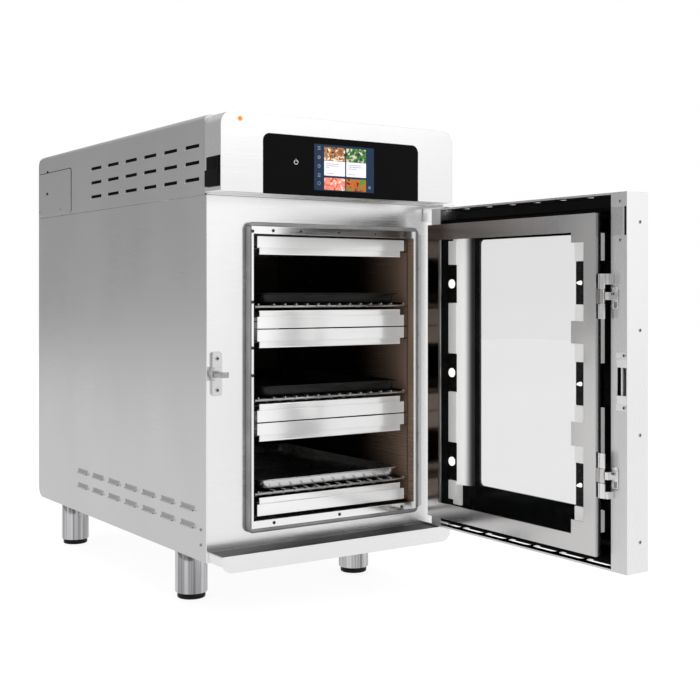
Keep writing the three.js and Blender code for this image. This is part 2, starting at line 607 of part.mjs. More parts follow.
piece('inner_frame', innerFrame(), bareSteel(), innerWindow);
piece('inner_glass', block(FRAME.x0 + SHEET + GAP, FRAME.x0 + 7, FRAME.y0 + 3, FRAME.y1 - 3,
  FRAME.z0 + 3, FRAME.z1 - 3), finish(0x9fb0b0, 0.03, 0), innerWindow);
piece('window_hinge_top', windowHinge(WINDOW_HINGE_HEIGHTS[0]), bareSteel(), door);
piece('window_hinge_bottom', windowHinge(WINDOW_HINGE_HEIGHTS[1]), bareSteel(), door);

// ---------- origin ----------
// The footprint's centre: the casing's left flap to the handle, and the open door's edge to the rear.
const footprint = new THREE.Box3().setFromObject(oven);
const centre = footprint.getCenter(new THREE.Vector3());
oven.position.set(-centre.x, -centre.y, -footprint.min.z);

export default oven;
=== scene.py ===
"""Looks of the three-chamber combi oven. Metres in Blender; the helpers take millimetres laid out
from the casing's centre plane (x), the front panel (y) and the floor (z)."""
import json
import math

import bmesh
import bpy
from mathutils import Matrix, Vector


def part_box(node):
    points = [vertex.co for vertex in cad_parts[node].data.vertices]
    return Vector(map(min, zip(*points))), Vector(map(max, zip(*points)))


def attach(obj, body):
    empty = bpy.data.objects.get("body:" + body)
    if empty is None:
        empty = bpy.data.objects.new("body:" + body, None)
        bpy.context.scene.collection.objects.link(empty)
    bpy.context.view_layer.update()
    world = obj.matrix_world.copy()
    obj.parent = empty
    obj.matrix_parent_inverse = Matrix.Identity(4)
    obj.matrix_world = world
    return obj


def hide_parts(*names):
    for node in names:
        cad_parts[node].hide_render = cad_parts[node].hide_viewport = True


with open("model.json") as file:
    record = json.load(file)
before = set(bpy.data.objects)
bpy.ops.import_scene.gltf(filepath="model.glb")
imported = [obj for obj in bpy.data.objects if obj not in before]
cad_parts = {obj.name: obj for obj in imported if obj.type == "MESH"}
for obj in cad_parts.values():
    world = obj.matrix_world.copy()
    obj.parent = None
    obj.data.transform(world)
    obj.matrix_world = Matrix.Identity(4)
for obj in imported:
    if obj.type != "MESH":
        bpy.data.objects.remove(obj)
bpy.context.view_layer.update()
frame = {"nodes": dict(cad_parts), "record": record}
NODES = frame["nodes"]
BODY_OF = {n: b for b, names in frame["record"]["behaviour"]["bodies"].items() for n in names}

MM = 0.001
COVER_TOP = 924  # height of the cover's top in this layout
LEFT_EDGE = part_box("left_side_panel")[0].x
RIGHT_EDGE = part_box("right_side_panel")[1].x
ORIGIN = Vector(((LEFT_EDGE + RIGHT_EDGE) / 2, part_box("front_panel")[0].y,
                 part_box("top_cover")[1].z - COVER_TOP * MM))


def span(node):
    """A CAD node's box as six numbers in millimetres: x0, x1, y0, y1, z0, z1."""
    low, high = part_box(node)
    low, high = (low - ORIGIN) / MM, (high - ORIGIN) / MM
    return low.x, high.x, low.y, high.y, low.z, high.z


def place(x, y, z):
    return ORIGIN + Vector((x, y, z)) * MM


# ---------- materials ----------
class Shader:
    """A Principled material with short helpers for its nodes."""

    def __init__(self, name, colour, roughness, metallic=0.0, **sockets):
        self.material = bpy.data.materials.new(name)
        self.material.use_nodes = True
        self.tree = self.material.node_tree
        self.principled = self.tree.nodes["Principled BSDF"]
        self.put("Base Color", (*colour, 1))
        self.put("Roughness", roughness)
        self.put("Metallic", metallic)
        for socket, value in sockets.items():
            self.put(socket.replace("_", " "), value)

    def put(self, socket, value):
        self.principled.inputs[socket].default_value = value

    def node(self, kind, **settings):
        node = self.tree.nodes.new(kind)
        for key, value in settings.items():
            if key in node.inputs:
                node.inputs[key].default_value = value
            else:
                setattr(node, key, value)
        return node

    def link(self, source, target):
        self.tree.links.new(source, target)

    def noise(self, stretch, detail=3.0, rough=0.5):
        """Noise in object space; stretch is the number of cells to the metre along each axis."""
        coord = self.node("ShaderNodeTexCoord")
        mapping = self.node("ShaderNodeMapping", Scale=stretch)
        noise = self.node("ShaderNodeTexNoise", Scale=1.0, Detail=detail, Roughness=rough)
        self.link(coord.outputs["Object"], mapping.inputs["Vector"])
        self.link(mapping.outputs["Vector"], noise.inputs["Vector"])
        return noise.outputs["Fac"]

    def spread(self, value, low, high):
        """value 0.3 to 0.7 mapped on low to high."""
        mapped = self.node("ShaderNodeMapRange")
        mapped.inputs["From Min"].default_value = 0.3
        mapped.inputs["From Max"].default_value = 0.7
        mapped.inputs["To Min"].default_value = low
        mapped.inputs["To Max"].default_value = high
        self.link(value, mapped.inputs["Value"])
        return mapped.outputs["Result"]

    def tint(self, value, dark, light):
        mix = self.node("ShaderNodeMix", data_type="RGBA")
        mix.inputs[6].default_value = (*dark, 1)
        mix.inputs[7].default_value = (*light, 1)
        self.link(self.spread(value, 0.0, 1.0), mix.inputs[0])
        self.link(mix.outputs[2], self.principled.inputs["Base Color"])

    def bump(self, height, strength, distance):
        bump = self.node("ShaderNodeBump", Strength=strength, Distance=distance)
        self.link(height, bump.inputs["Height"])
        self.link(bump.outputs["Normal"], self.principled.inputs["Normal"])


def shades(colour, contrast):
    """A darker and a lighter shade of a colour."""
    return [c * (1 - contrast) for c in colour], [min(1, c * (1 + contrast)) for c in colour]


def steel(name, colour, roughness, grain, metallic=1.0, contrast=0.05, bump=0.05):
    """Brushed steel: fine streaks along the axis with the low grain number, and faint smears."""
    shader = Shader(name, colour, roughness, metallic)
    streaks = shader.noise(grain, 4.0, 0.65)
    smears = shader.noise((5, 5, 3), 3.0)
    shader.tint(streaks, *shades(colour, contrast))
    both = shader.node("ShaderNodeMath", operation="ADD")
    shader.link(shader.spread(streaks, roughness - 0.05, roughness + 0.05), both.inputs[0])
    shader.link(shader.spread(smears, -0.04, 0.04), both.inputs[1])
    shader.link(both.outputs[0], shader.principled.inputs["Roughness"])
    shader.bump(streaks, bump, 0.0004)
    return shader.material


def moulded(name, colour, roughness, grain=900, bump=0.15, contrast=0.2, specular=0.5, glow=0.0):
    """Moulded plastic, rubber or enamel with a fine spark-eroded grain."""
    shader = Shader(name, colour, roughness, Specular_IOR_Level=specular, Emission_Color=(*colour, 1),
                    Emission_Strength=glow)
    fine = shader.noise((grain, grain, grain), 2.0)
    shader.tint(shader.noise((20, 20, 20)), *shades(colour, contrast))
    gloss = shader.spread(fine, roughness - 0.06, roughness + 0.06)
    shader.link(gloss, shader.principled.inputs["Roughness"])
    shader.bump(fine, bump, 0.0003)
    return shader.material


def pane(name, colour, roughness, alpha=1.0, specular=0.5):
    """Glass: smooth, with faint wipe marks in its gloss."""
    shader = Shader(name, colour, roughness, Alpha=alpha, Specular_IOR_Level=specular)
    wipes = shader.noise((3, 14, 6), 4.0, 0.6)
    shader.link(shader.spread(wipes, roughness, roughness + 0.05), shader.principled.inputs["Roughness"])
    deep = [c * 0.9 for c in colour]
    shader.tint(shader.noise((6, 6, 6)), deep, colour)
    return shader.material


def glowing(name, colour, strength, roughness=0.3):
    """A lens or a lit patch of the screen: a fine-grained surface that shines in its own colour."""
    shader = Shader(name, colour, roughness, Emission_Color=(*colour, 1), Emission_Strength=strength,
                    Specular_IOR_Level=0.1)
    cells = shader.noise((900, 900, 900), 2.0)
    gloss = shader.spread(cells, roughness - 0.05, roughness + 0.1)
    shader.link(gloss, shader.principled.inputs["Roughness"])
    shader.tint(cells, [c * 0.93 for c in colour], colour)
    return shader.material


SHADE_RAMP_EDGE = 15


def painted_shade_ramp(material, start, stop, share, from_z):
    """Paints shade on a steel: deepens it to a share of its colour from one depth to another, above the
    height from_z.
    """
    tree = material.node_tree
    colour = tree.nodes["Principled BSDF"].inputs["Base Color"]
    plain = colour.links[0].from_socket
    coord = tree.nodes.new("ShaderNodeTexCoord")
    split = tree.nodes.new("ShaderNodeSeparateXYZ")
    tree.links.new(coord.outputs["Object"], split.inputs[0])

    def climb(axis, low, high):
        ramp = tree.nodes.new("ShaderNodeMapRange")
        ramp.interpolation_type = "SMOOTHSTEP"
        ramp.inputs["From Min"].default_value = low
        ramp.inputs["From Max"].default_value = high
        tree.links.new(split.outputs[axis], ramp.inputs["Value"])
        return ramp.outputs["Result"]

    near, far = place(0, start, from_z - SHADE_RAMP_EDGE), place(0, stop, from_z + SHADE_RAMP_EDGE)
    both = tree.nodes.new("ShaderNodeMath")
    both.operation = "MULTIPLY"
    tree.links.new(climb("Y", near.y, far.y), both.inputs[0])
    tree.links.new(climb("Z", near.z, far.z), both.inputs[1])
    mix = tree.nodes.new("ShaderNodeMix")
    mix.data_type = "RGBA"
    mix.blend_type = "MULTIPLY"
    mix.inputs[7].default_value = (*share, 1)
    tree.links.new(both.outputs[0], mix.inputs[0])
    tree.links.new(plain, mix.inputs[6])
    tree.links.new(mix.outputs[2], colour)


def shine(material, strength):
    """Lets a steel glow a little, for the light that the lamps throw on it."""
    material.node_tree.nodes["Principled BSDF"].inputs["Emission Strength"].default_value = strength


SIDE = steel("side_brushed", (0.64, 0.64, 0.645), 0.33, (900, 6, 1600), 1.0, 0.012, 0.004)
FRONT = steel("front_brushed", (0.92, 0.92, 0.92), 0.24, (6, 1500, 1500), 1.0, 0.006, 0.003)
BEZEL_FACE = steel("bezel_brushed", (0.84, 0.84, 0.84), 0.24, (6, 1500, 1500), 1.0, 0.006, 0.003)
CATCH = steel("catch_plated", (0.72, 0.72, 0.72), 0.30, (400, 400, 400), 1.0, 0.05, 0.02)
FOLD = steel("plate_fold_brushed", (0.95, 0.95, 0.945), 0.15, (6, 1500, 1500), 0.55, 0.03, 0.003)
shine(FOLD, 0.14)
FRONT_Z = steel("front_brushed_upright", (0.91, 0.91, 0.91), 0.26, (1500, 1500, 6), 1.0, 0.006, 0.003)
BARE = steel("bare_brushed", (0.96, 0.96, 0.955), 0.11, (6, 1500, 1500), 1.0, 0.02, 0.003)
BARE_Y = steel("bare_brushed_deep", (0.62, 0.61, 0.60), 0.22, (500, 3, 500), 1.0, 0.05, 0.03)
INNER = steel("cavity_heated", (0.14, 0.115, 0.10), 0.26, (300, 3, 300), 1.0, 0.25, 0.04)
# Painted light and shade on the cavity's right wall: a partly real heat tint, made bright at the mouth for
# the lamps' light, and darkened from 30 to 190 mm deep, above about 100 mm, in place of a reflection.
MOUTH_WALL = steel("cavity_heat_tint_and_painted_light", (0.66, 0.46, 0.34), 0.24, (900, 6, 900), 0.48, 0.04, 0.006)
painted_shade_ramp(MOUTH_WALL, 30, 190, (0.05, 0.04, 0.035), 100)
BAFFLE = steel("baffle_heated", (0.07, 0.062, 0.056), 0.34, (3, 300, 300), 1.0, 0.25, 0.04)
DOOR_DARK = steel("door_inside_shade", (0.018, 0.016, 0.015), 0.12, (3, 300, 300), 1.0, 0.2, 0.01)
# Black for the door's inside; on the drip ledge's upper face it is a painted reflection.
DOOR_SKIN = moulded("door_inside_black_and_ledge_reflection", (0.003, 0.003, 0.003), 0.40, specular=0.15)
FRAME_STEEL = steel("window_frame_brushed", (0.66, 0.65, 0.645), 0.15, (900, 900, 8), 1.0, 0.03, 0.004)
# Painted shade on the window frame: above about 185 mm it darkens in two steps from y -470 towards y -90, in
# place of a reflection.
painted_shade_ramp(FRAME_STEEL, -470, -150, (0.52, 0.47, 0.44), 185)
painted_shade_ramp(FRAME_STEEL, -150, -90, (0.38, 0.33, 0.30), 185)
FLANGE = steel("door_flange_brushed", (0.76, 0.76, 0.76), 0.30, (1200, 1200, 6), 0.8, 0.02, 0.004)
BRIGHT = steel("bright_steel", (0.86, 0.86, 0.86), 0.20, (90, 90, 90), 1.0, 0.03, 0.02)
# The strong streak contrast paints upright dark and light bands round the legs: painted reflections on the
# polished tubes.
CHROME = steel("leg_polished", (0.46, 0.46, 0.47), 0.10, (95, 95, 0.6), 1.0, 0.85, 0.0)
WIRE = steel("shelf_wire_plated", (0.42, 0.41, 0.405), 0.22, (300, 300, 300), 1.0, 0.12, 0.05)
BOLT = steel("bolt_steel", (0.42, 0.42, 0.42), 0.28, (400, 400, 400), 1.0, 0.08, 0.05)
DULL_BOLT = steel("bolt_dulled", (0.13, 0.13, 0.13), 0.30, (400, 400, 400), 1.0, 0.08, 0.05)
BLACK = moulded("black_moulded", (0.005, 0.005, 0.0055), 0.36, specular=0.2)
RUBBER = moulded("black_rubber_grain", (0.004, 0.004, 0.004), 0.6, 1400, 0.25, specular=0.08)
SILICONE = moulded("gasket_grey", (0.30, 0.30, 0.30), 0.30, 1200, 0.1)
CONTROL = pane("control_glass_gloss", (0.0025, 0.0025, 0.003), 0.03, 1.0, 0.06)
PRINT = pane("glass_black_print", (0.001, 0.001, 0.001), 0.05, 1.0, 0.03)
CLEAR = pane("glass_clear", (0.05, 0.055, 0.055), 0.02, 0.03, 0.2)
TINTED = pane("glass_window", (0.30, 0.30, 0.30), 0.02, 0.13, 0.4)
# The enamel glows a little: painted light for the lamps' light on the strips, which are no lamps.
ENAMEL = moulded("lamp_white_enamel_painted_glow", (0.86, 0.86, 0.85), 0.32, 500, 0.04, 0.03, glow=0.28)
DARK_PAN = moulded("non_stick_coating", (0.008, 0.0075, 0.007), 0.30, 1600, 0.2, 0.35, specular=0.3)
BRIGHT_PAN = steel("pan_aluminium", (0.74, 0.74, 0.74), 0.25, (700, 700, 700), 1.0, 0.03, 0.004)
CAST = moulded("motor_paint", (0.05, 0.05, 0.055), 0.5, 500, 0.3)
ELEMENT = moulded("element_oxide", (0.07, 0.055, 0.05), 0.55, 300, 0.3, 0.4)
WOOL = moulded("mineral_wool", (0.50, 0.45, 0.32), 0.95, 160, 0.9, 0.35)
LAMP = glowing("lamp_lens", (1.0, 0.98, 0.94), 1.0)
AMBER = glowing("amber_lens", (0.95, 0.30, 0.015), 0.35)
# Near-black for black parts, and painted shade put in recesses, gaps and slots.
DARK_GAP = moulded("dark_recess", (0.002, 0.002, 0.002), 0.7, 200, 0.1, specular=0.04)


# ---------- mesh helpers ----------
class Shape:
    """Collects closed surfaces in millimetres and makes one object of them."""

    def __init__(self):
        self.bm = bmesh.new()

    def loops(self, rings, cap=True):
        """Skins rings of equal length one after another."""
        made = [[self.bm.verts.new(place(*p)) for p in ring] for ring in rings]
        count = len(made[0])
        for a, b in zip(made, made[1:]):
            for k in range(count):
                nxt = (k + 1) % count
                self.bm.faces.new((a[k], a[nxt], b[nxt], b[k]))
        if cap:
            self.bm.faces.new(list(reversed(made[0])))
            self.bm.faces.new(made[-1])
        return self

    def box(self, x0, x1, y0, y1, z0, z1):
        ring = lambda z: [(x0, y0, z), (x1, y0, z), (x1, y1, z), (x0, y1, z)]
        return self.loops([ring(z0), ring(z1)])

    def prism(self, outline, axis, low, high):
        """An outline in the two other axes, in x, y, z order, pushed along axis."""
        def put(u, v, w):
            return {"x": (w, u, v), "y": (u, w, v), "z": (u, v, w)}[axis]
        return self.loops([[put(u, v, w) for u, v in outline] for w in (low, high)])

    def turned(self, profile, centre, axis, segments=32):
        """A profile of (radius, place along axis) turned about the axis through centre."""
        rings = []
        for radius, along in profile:
            ring = []
            for k in range(segments):
                a = 2 * math.pi * k / segments
                u, v = radius * math.cos(a), radius * math.sin(a)
                offset = {"x": (along, u, v), "y": (v, along, u), "z": (u, v, along)}[axis]
                ring.append([c + o for c, o in zip(centre, offset)])
            rings.append(ring)
        return self.loops(rings)

    def tube(self, points, radius, sides=12, closed=False):
        """A round bar along points; open ends are domed a little."""
        points = [Vector(p) for p in points]
        rings = []
        last = len(points) - 1
        up = Vector((0, 0, 1))
        for i, point in enumerate(points):
            if closed:
                ahead = (points[(i + 1) % len(points)] - points[i - 1]).normalized()
            else:
                ahead = (points[min(i + 1, last)] - points[max(i - 1, 0)]).normalized()
            side = ahead.cross(up if abs(ahead.z) < 0.9 else Vector((1, 0, 0))).normalized()
            other = side.cross(ahead)
            steps = [(radius, 0)]
            if not closed and i == 0:
                steps = [(radius * 0.45, -radius * 0.5), (radius * 0.85, -radius * 0.25), (radius, 0)]
            if not closed and i == last:
                steps = [(radius, 0), (radius * 0.85, radius * 0.25), (radius * 0.45, radius * 0.5)]
            for r, shift in steps:
                rings.append([point + ahead * shift + (side * math.cos(a) + other * math.sin(a)) * r
                              for a in (2 * math.pi * k / sides for k in range(sides))])
        if closed:
            rings.append(rings[0])
        return self.loops(rings, cap=not closed)

    def sheet_with_holes(self, x0, x1, y0, y1, z0, z1, columns, rows, radius, sides=16):
        """A flat sheet with a grid of round holes through it."""
        dx, dy = (x1 - x0) / columns, (y1 - y0) / rows
        for i in range(columns):
            for j in range(rows):
                cx, cy = x0 + (i + 0.5) * dx, y0 + (j + 0.5) * dy
                rings = {"hole": [], "edge": []}
                for k in range(sides):
                    a = 2 * math.pi * (k + 0.5) / sides
                    c, s = math.cos(a), math.sin(a)
                    reach = 0.5 / max(abs(c) / dx, abs(s) / dy)
                    rings["hole"].append((cx + radius * c, cy + radius * s))
                    rings["edge"].append((cx + reach * c, cy + reach * s))
                layers = [[(x, y, z1) for x, y in rings["edge"]], [(x, y, z1) for x, y in rings["hole"]],
                          [(x, y, z0) for x, y in rings["hole"]], [(x, y, z0) for x, y in rings["edge"]]]
                self.loops(layers, cap=False)
        return self

    def make(self, name, material, body, slot, bevel=0.0, smooth=38, replaces=()):
        bmesh.ops.remove_doubles(self.bm, verts=self.bm.verts, dist=2e-6)
        bmesh.ops.recalc_face_normals(self.bm, faces=self.bm.faces)
        mesh = bpy.data.meshes.new(name)
        self.bm.to_mesh(mesh)
        self.bm.free()
        obj = bpy.data.objects.new(name, mesh)
        bpy.context.scene.collection.objects.link(obj)
        return dress(obj, material, body, bevel, smooth, replaces)


BEVEL_ANGLE = 32


def dress(obj, material, body, bevel, smooth, replaces):
    """Gives a piece its material, rounded edges and body, and hides the CAD nodes it stands for."""
    obj.data.materials.clear()
    obj.data.materials.append(material)
    if bevel:
        modifier = obj.modifiers.new("edges", "BEVEL")
        modifier.limit_method = "ANGLE"
        modifier.angle_limit = math.radians(BEVEL_ANGLE)
        modifier.width = bevel * MM
        modifier.segments = 2
        modifier.use_clamp_overlap = True
        modifier.harden_normals = False
    obj.data.shade_smooth()
    obj.data.set_sharp_from_angle(angle=math.radians(smooth))
    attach(obj, body)
    if replaces:
        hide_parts(*replaces)
    return obj


def zoned(obj, *zones):
    """Gives the faces that each (material, test) picks that material; a test takes centre and normal."""
    for material, test in zones:
        obj.data.materials.append(material)
        for face in obj.data.polygons:
            centre = (Vector(face.center) - ORIGIN) / MM
            if test(centre, face.normal):
                face.material_index = len(obj.data.materials) - 1


def refined(node, material, bevel):
    """The CAD shape again, with flat faces joined up and its edges rounded."""
    mesh = NODES[node].data.copy()
    bm = bmesh.new()
    bm.from_mesh(mesh)
    bmesh.ops.remove_doubles(bm, verts=bm.verts, dist=1e-6)
    bmesh.ops.dissolve_limit(bm, angle_limit=math.radians(0.5), verts=bm.verts, edges=bm.edges)
    bm.to_mesh(mesh)
    bm.free()
    obj = bpy.data.objects.new(node + "_shell", mesh)
    bpy.context.scene.collection.objects.link(obj)
    return dress(obj, material, BODY_OF[node], bevel, 30, (node,))


def finish_node(node, material):
    """A CAD node that stays as it is, in a better material."""
    NODES[node].data.materials.clear()
    NODES[node].data.materials.append(material)


def rounded(u0, u1, v0, v1, r, steps=8):
    """A rectangle's outline with round corners, counter-clockwise."""
    corners = [(u1 - r, v0 + r, -90), (u1 - r, v1 - r, 0), (u0 + r, v1 - r, 90), (u0 + r, v0 + r, 180)]
    return [(cu + r * math.cos(math.radians(start + 90 * k / steps)),
             cv + r * math.sin(math.radians(start + 90 * k / steps)))
            for cu, cv, start in corners for k in range(steps + 1)]


# Each row is a share of the radius and a share of the height.
SCREW_PROFILE = [(1.04, 0), (1.04, 0.2), (1.0, 0.29), (0.97, 0.51), (0.8, 0.86), (0.55, 1.0), (0.5, 0.86)]
RECESS_PROFILE = [(0.52, 0.83), (0.5, 0.93)]


def screws(name, places, axis, sign, radius=3.6, body="oven", height=1.75, metal=BOLT):
    """Low domed screw heads with a dark hexagon in the recess as painted shade, facing along sign * axis."""
    head, recess = Shape(), Shape()
    for centre in places:
        head.turned([(r * radius, sign * h * height) for r, h in SCREW_PROFILE], centre, axis, 20)
        recess.turned([(r * radius, sign * h * height) for r, h in RECESS_PROFILE], centre, axis, 6)
    recess.make(name + "_recess", DARK_GAP, body, "polished_steel")
    return head.make(name, metal, body, "polished_steel")


# ---------- casing ----------
CASING = {
    "base_pan": (SIDE, 0.5), "left_side_panel": (SIDE, 0.7), "right_side_panel": (SIDE, 0.7),
    "top_cover": (SIDE, 0.6), "back_panel": (SIDE, 0.5), "front_panel": (FRONT, 0.5),
    "control_bezel": (BEZEL_FACE, 0.9), "display_glass": (CONTROL, 0.4),
    "left_rack_rail": (INNER, 0.4),
    "rear_baffle": (BAFFLE, 0.3), "catch_block": (CATCH, 0.8), "catch_hook": (BOLT, 0.6),
    "top_hinge": (BRIGHT, 0.6), "bottom_hinge": (BRIGHT, 0.6), "striker_bar": (BRIGHT, 0.3),
    "inner_frame": (FRAME_STEEL, 0.4), "inner_glass": (CLEAR, 0.4),
}
for node_name, (material, bevel) in CASING.items():
    refined(node_name, material, bevel)
finish_node("cooling_fan", BLACK)
finish_node("insulation", WOOL)
CHAMBERS = (1, 2, 3)
for n in CHAMBERS:
    finish_node(f"fan_wheel_{n}", BARE)
    finish_node(f"fan_motor_{n}", CAST)
    finish_node(f"heating_element_{n}", ELEMENT)

FACING = 0.9  # a face looks along an axis when its normal has this share of it
INSIDE = 1  # how far behind the front panel the inside of the cavity begins
SHEET_EDGE = 1
DOOR_RIM = 4  # how far in from the flange the door's inner skin begins, at least
LEDGE_SHELF = 121  # the ledge's upper face lies above this height
door = span("door_shell")
# The right wall's inward faces and the right rail's take the heat tint with its painted light at the mouth
# and painted shade deeper in.
zoned(refined("cavity_liner", BARE, 0.4), (INNER, lambda c, n: c.y > INSIDE),
      (MOUTH_WALL, lambda c, n: c.y > INSIDE and n.x < -FACING and c.x > 0))
zoned(refined("right_rack_rail", INNER, 0.4), (MOUTH_WALL, lambda c, n: n.x < -FACING))
# The ledge's upper face takes the door's black as a painted reflection: the dark mirror image on its
# polished steel.
zoned(refined("drip_ledge", FRONT, 0.7), (DOOR_SKIN, lambda c, n: n.z > FACING and c.z > LEDGE_SHELF))
LATCH_INSET = 0.6  # the latch wall's skin stands back, so that its screws stay inside the CAD box
door_skin = refined("door_shell", FRONT_Z, 0.6)
for vertex in door_skin.data.vertices:
    if (vertex.co.y - ORIGIN.y) / MM < door[2] + 0.1:
        vertex.co.y += LATCH_INSET * MM
zoned(door_skin,
      (DOOR_DARK, lambda c, n: abs(n.z) > FACING and door[4] + SHEET_EDGE < c.z < door[5] - SHEET_EDGE),
      (DOOR_SKIN, lambda c, n: n.x < -FACING and c.x > door[0] + DOOR_RIM),
      (FLANGE, lambda c, n: n.x < -FACING and c.x < door[0] + SHEET_EDGE))

WALL = span("right_side_panel")[1]
DEPTH = span("left_side_panel")[3]
COVER_Z0 = span("top_cover")[4]

LOUVRE_ROWS = (194.5, 162.5)
LOUVRE_COLUMNS = [75 + 86.6 * k for k in range(7)]
LOUVRE_HALF = 29.0
LOUVRE_RISE = 11.0
LOUVRE_REACH = 4.8
LOUVRE_FOOT = 6.0  # how far the root lies above the row's line
LOUVRE_SHOULDER = 9.0
LOUVRE_SKIN = 1.1
STEPS_ALONG, STEPS_DOWN = 14, 5
MOUTH_DARK = (24, -4.6, 27.5, -2.4, 3.4)  # half width and height below, the same above, and depth


def scoop(side, middle, row):
    """Rings across one pressed scoop, from its one end to the other."""
    rings = []
    for i in range(STEPS_ALONG + 1):
        along = -LOUVRE_HALF + 2 * LOUVRE_HALF * i / STEPS_ALONG
        swell = min(1.0, (LOUVRE_HALF - abs(along)) / LOUVRE_SHOULDER) ** 0.7
        skin, inner = [], []
        for j in range(STEPS_DOWN + 1):
            t = j / STEPS_DOWN
            out = LOUVRE_REACH * math.sin(t * math.pi / 2) * swell
            y, z = middle + along, row + LOUVRE_FOOT - LOUVRE_RISE * t
            skin.append((side * (WALL + out + 0.1), y, z))
            inner.append((side * (WALL + max(out - LOUVRE_SKIN, -0.6)), y, z + 0.15))
        rings.append(skin + list(reversed(inner)))
    return rings


def louvres(name, side):
    """Pressed scoops over the slots low on a side panel, open at the bottom, with dark mouths."""
    shape, shade = Shape(), Shape()
    low_half, low, high_half, high, depth = MOUTH_DARK
    x0, x1 = sorted((side * (WALL + 0.05), side * (WALL + depth)))
    for middle in LOUVRE_COLUMNS:
        for row in LOUVRE_ROWS:
            shape.loops(scoop(side, middle, row))
            shade.prism([(middle - low_half, row + low), (middle + low_half, row + low),
                         (middle + high_half, row + high), (middle - high_half, row + high)], "x", x0, x1)
    shade.make(name + "_shade", DARK_GAP, "oven", "side_steel")
    return shape.make(name, SIDE, "oven", "side_steel", smooth=60)


louvres("left_louvres", -1)
louvres("right_louvres", 1)

SIDES = ((-1, "left"), (1, "right"))
PLATE_Y, PLATE_Z, PLATE_R = (668, DEPTH - 3), (780, 881), 9
PLATE_OUT = 1.1  # how far the plate's face stands off the cover
PLATE_SHADOW_LINE = 1.6  # width of the painted shadow line round it


def side_sheet(name, outline, side, inner, outer, material, bevel=0.0):
    x0, x1 = sorted((side * (WALL + inner), side * (WALL + outer)))
    Shape().prism(outline, "x", x0, x1).make(name, material, "oven", "side_steel", bevel)


for side, tag in SIDES:
    side_sheet(f"{tag}_corner_plate", rounded(*PLATE_Y, *PLATE_Z, PLATE_R), side, 0.05, PLATE_OUT, SIDE, 0.3)
    plate_face = side * (WALL + PLATE_OUT)
    screws(f"{tag}_plate_screws", [(plate_face, y, 790) for y in (732, 868)], "x", side, 3.2)
    screws(f"{tag}_cover_screws", [(side * WALL, 820, 884), (plate_face, 820, 832)], "x", side, 3.4,
           metal=BLACK)
    # A dark sheet behind the plate's front and top edges: the plate's painted shadow on the cover.
    outline = rounded(PLATE_Y[0] - PLATE_SHADOW_LINE, PLATE_Y[1], PLATE_Z[0], PLATE_Z[1] + PLATE_SHADOW_LINE, PLATE_R)
    side_sheet(f"{tag}_plate_shadow", outline, side, 0.03, 0.3, DARK_GAP)
    screws(f"{tag}_panel_screws", [(side * WALL, 22, z) for z in (160, 132)], "x", side, 3.0)

# ---------- legs ----------
LEG_BORE = 13.2
STEM = 12
for corner in ("front_left", "rear_left", "front_right", "rear_right"):
    x0, x1, y0, y1, z0, z1 = span(f"leg_{corner}")
    middle = ((x0 + x1) / 2, (y0 + y1) / 2, 0)
    r = (x1 - x0) / 2 - 0.1
    Shape().turned([(LEG_BORE, z0 + 40), (LEG_BORE, z0), (r - 3, z0), (r - 1, z0 + 0.6), (r, z0 + 2),
                    (r, z1 - 2), (r - 1, z1)], middle, "z", 96).make(
        f"leg_tube_{corner}", CHROME, "oven", "polished_steel", replaces=(f"leg_{corner}",))
    x0, x1, y0, y1, low, top = span(f"foot_{corner}")
    r, rim = (x1 - x0) / 2, z0 - 0.4
    Shape().turned([(r - 8, low + 0.3), (r - 7, low), (r - 2, low), (r - 0.6, low + 0.9), (r, low + 2.2),
                    (r, low + 4), (r - 0.7, low + 4.4), (r - 0.7, low + 5.2), (r, low + 5.6), (r, rim - 1.6),
                    (r - 1, rim), (STEM, rim), (STEM, top - 1), (STEM - 1, top)],
                   middle, "z", 64).make(
        f"foot_pad_{corner}", BLACK, f"adjuster_{corner}", "black_plastic", replaces=(f"foot_{corner}",))

# ---------- control head ----------
glass = span("display_glass")
FACE = glass[2]
SCREEN = (-68, 70, 790, 877)
NAVY = glowing("screen_navy", (0.014, 0.030, 0.062), 0.55)
CARD = glowing("screen_card", (0.80, 0.80, 0.81), 0.55)
ICON = glowing("screen_icon", (0.38, 0.42, 0.47), 0.25)
TEXT = glowing("screen_text", (0.22, 0.24, 0.27), 0.2)


def dish_picture(name, seed, ground, food, highlight):
    """A generic food picture: smooth patches of three food colours."""
    shader = Shader(name, ground, 0.3, Emission_Strength=0.6, Specular_IOR_Level=0.1)
    coord = shader.node("ShaderNodeTexCoord")
    shift = shader.node("ShaderNodeMapping", Location=(seed * 0.013, 0, seed * 0.029), Scale=(105, 105, 105))
    patches = shader.node("ShaderNodeTexNoise", Scale=1.0, Detail=1.5, Distortion=1.2)
    shader.link(coord.outputs["Object"], shift.inputs["Vector"])
    shader.link(shift.outputs["Vector"], patches.inputs["Vector"])
    ramp = shader.node("ShaderNodeValToRGB")
    stops = [(0.34, ground), (0.46, food), (0.56, food), (0.62, highlight), (0.72, highlight)]
    while len(ramp.color_ramp.elements) < len(stops):
        ramp.color_ramp.elements.new(0.5)
    for element, (position, colour) in zip(ramp.color_ramp.elements, stops):
        element.position = position
        element.color = (*colour, 1)
    shader.link(patches.outputs["Fac"], ramp.inputs["Fac"])
    shader.link(ramp.outputs["Color"], shader.principled.inputs["Base Color"])
    shader.link(ramp.outputs["Color"], shader.principled.inputs["Emission Color"])
    return shader.material


def on_glass(name, outline, material, proud):
    """A thin patch on the control glass."""
    patch = Shape().prism(outline, "y", FACE - proud, FACE - 0.02)
    return patch.make(name, material, "oven", "control_glass")


def rect(u0, u1, v0, v1, r=1.0):
    """A rectangle with small round corners of a few points."""
    return rounded(u0, u1, v0, v1, r, 3)


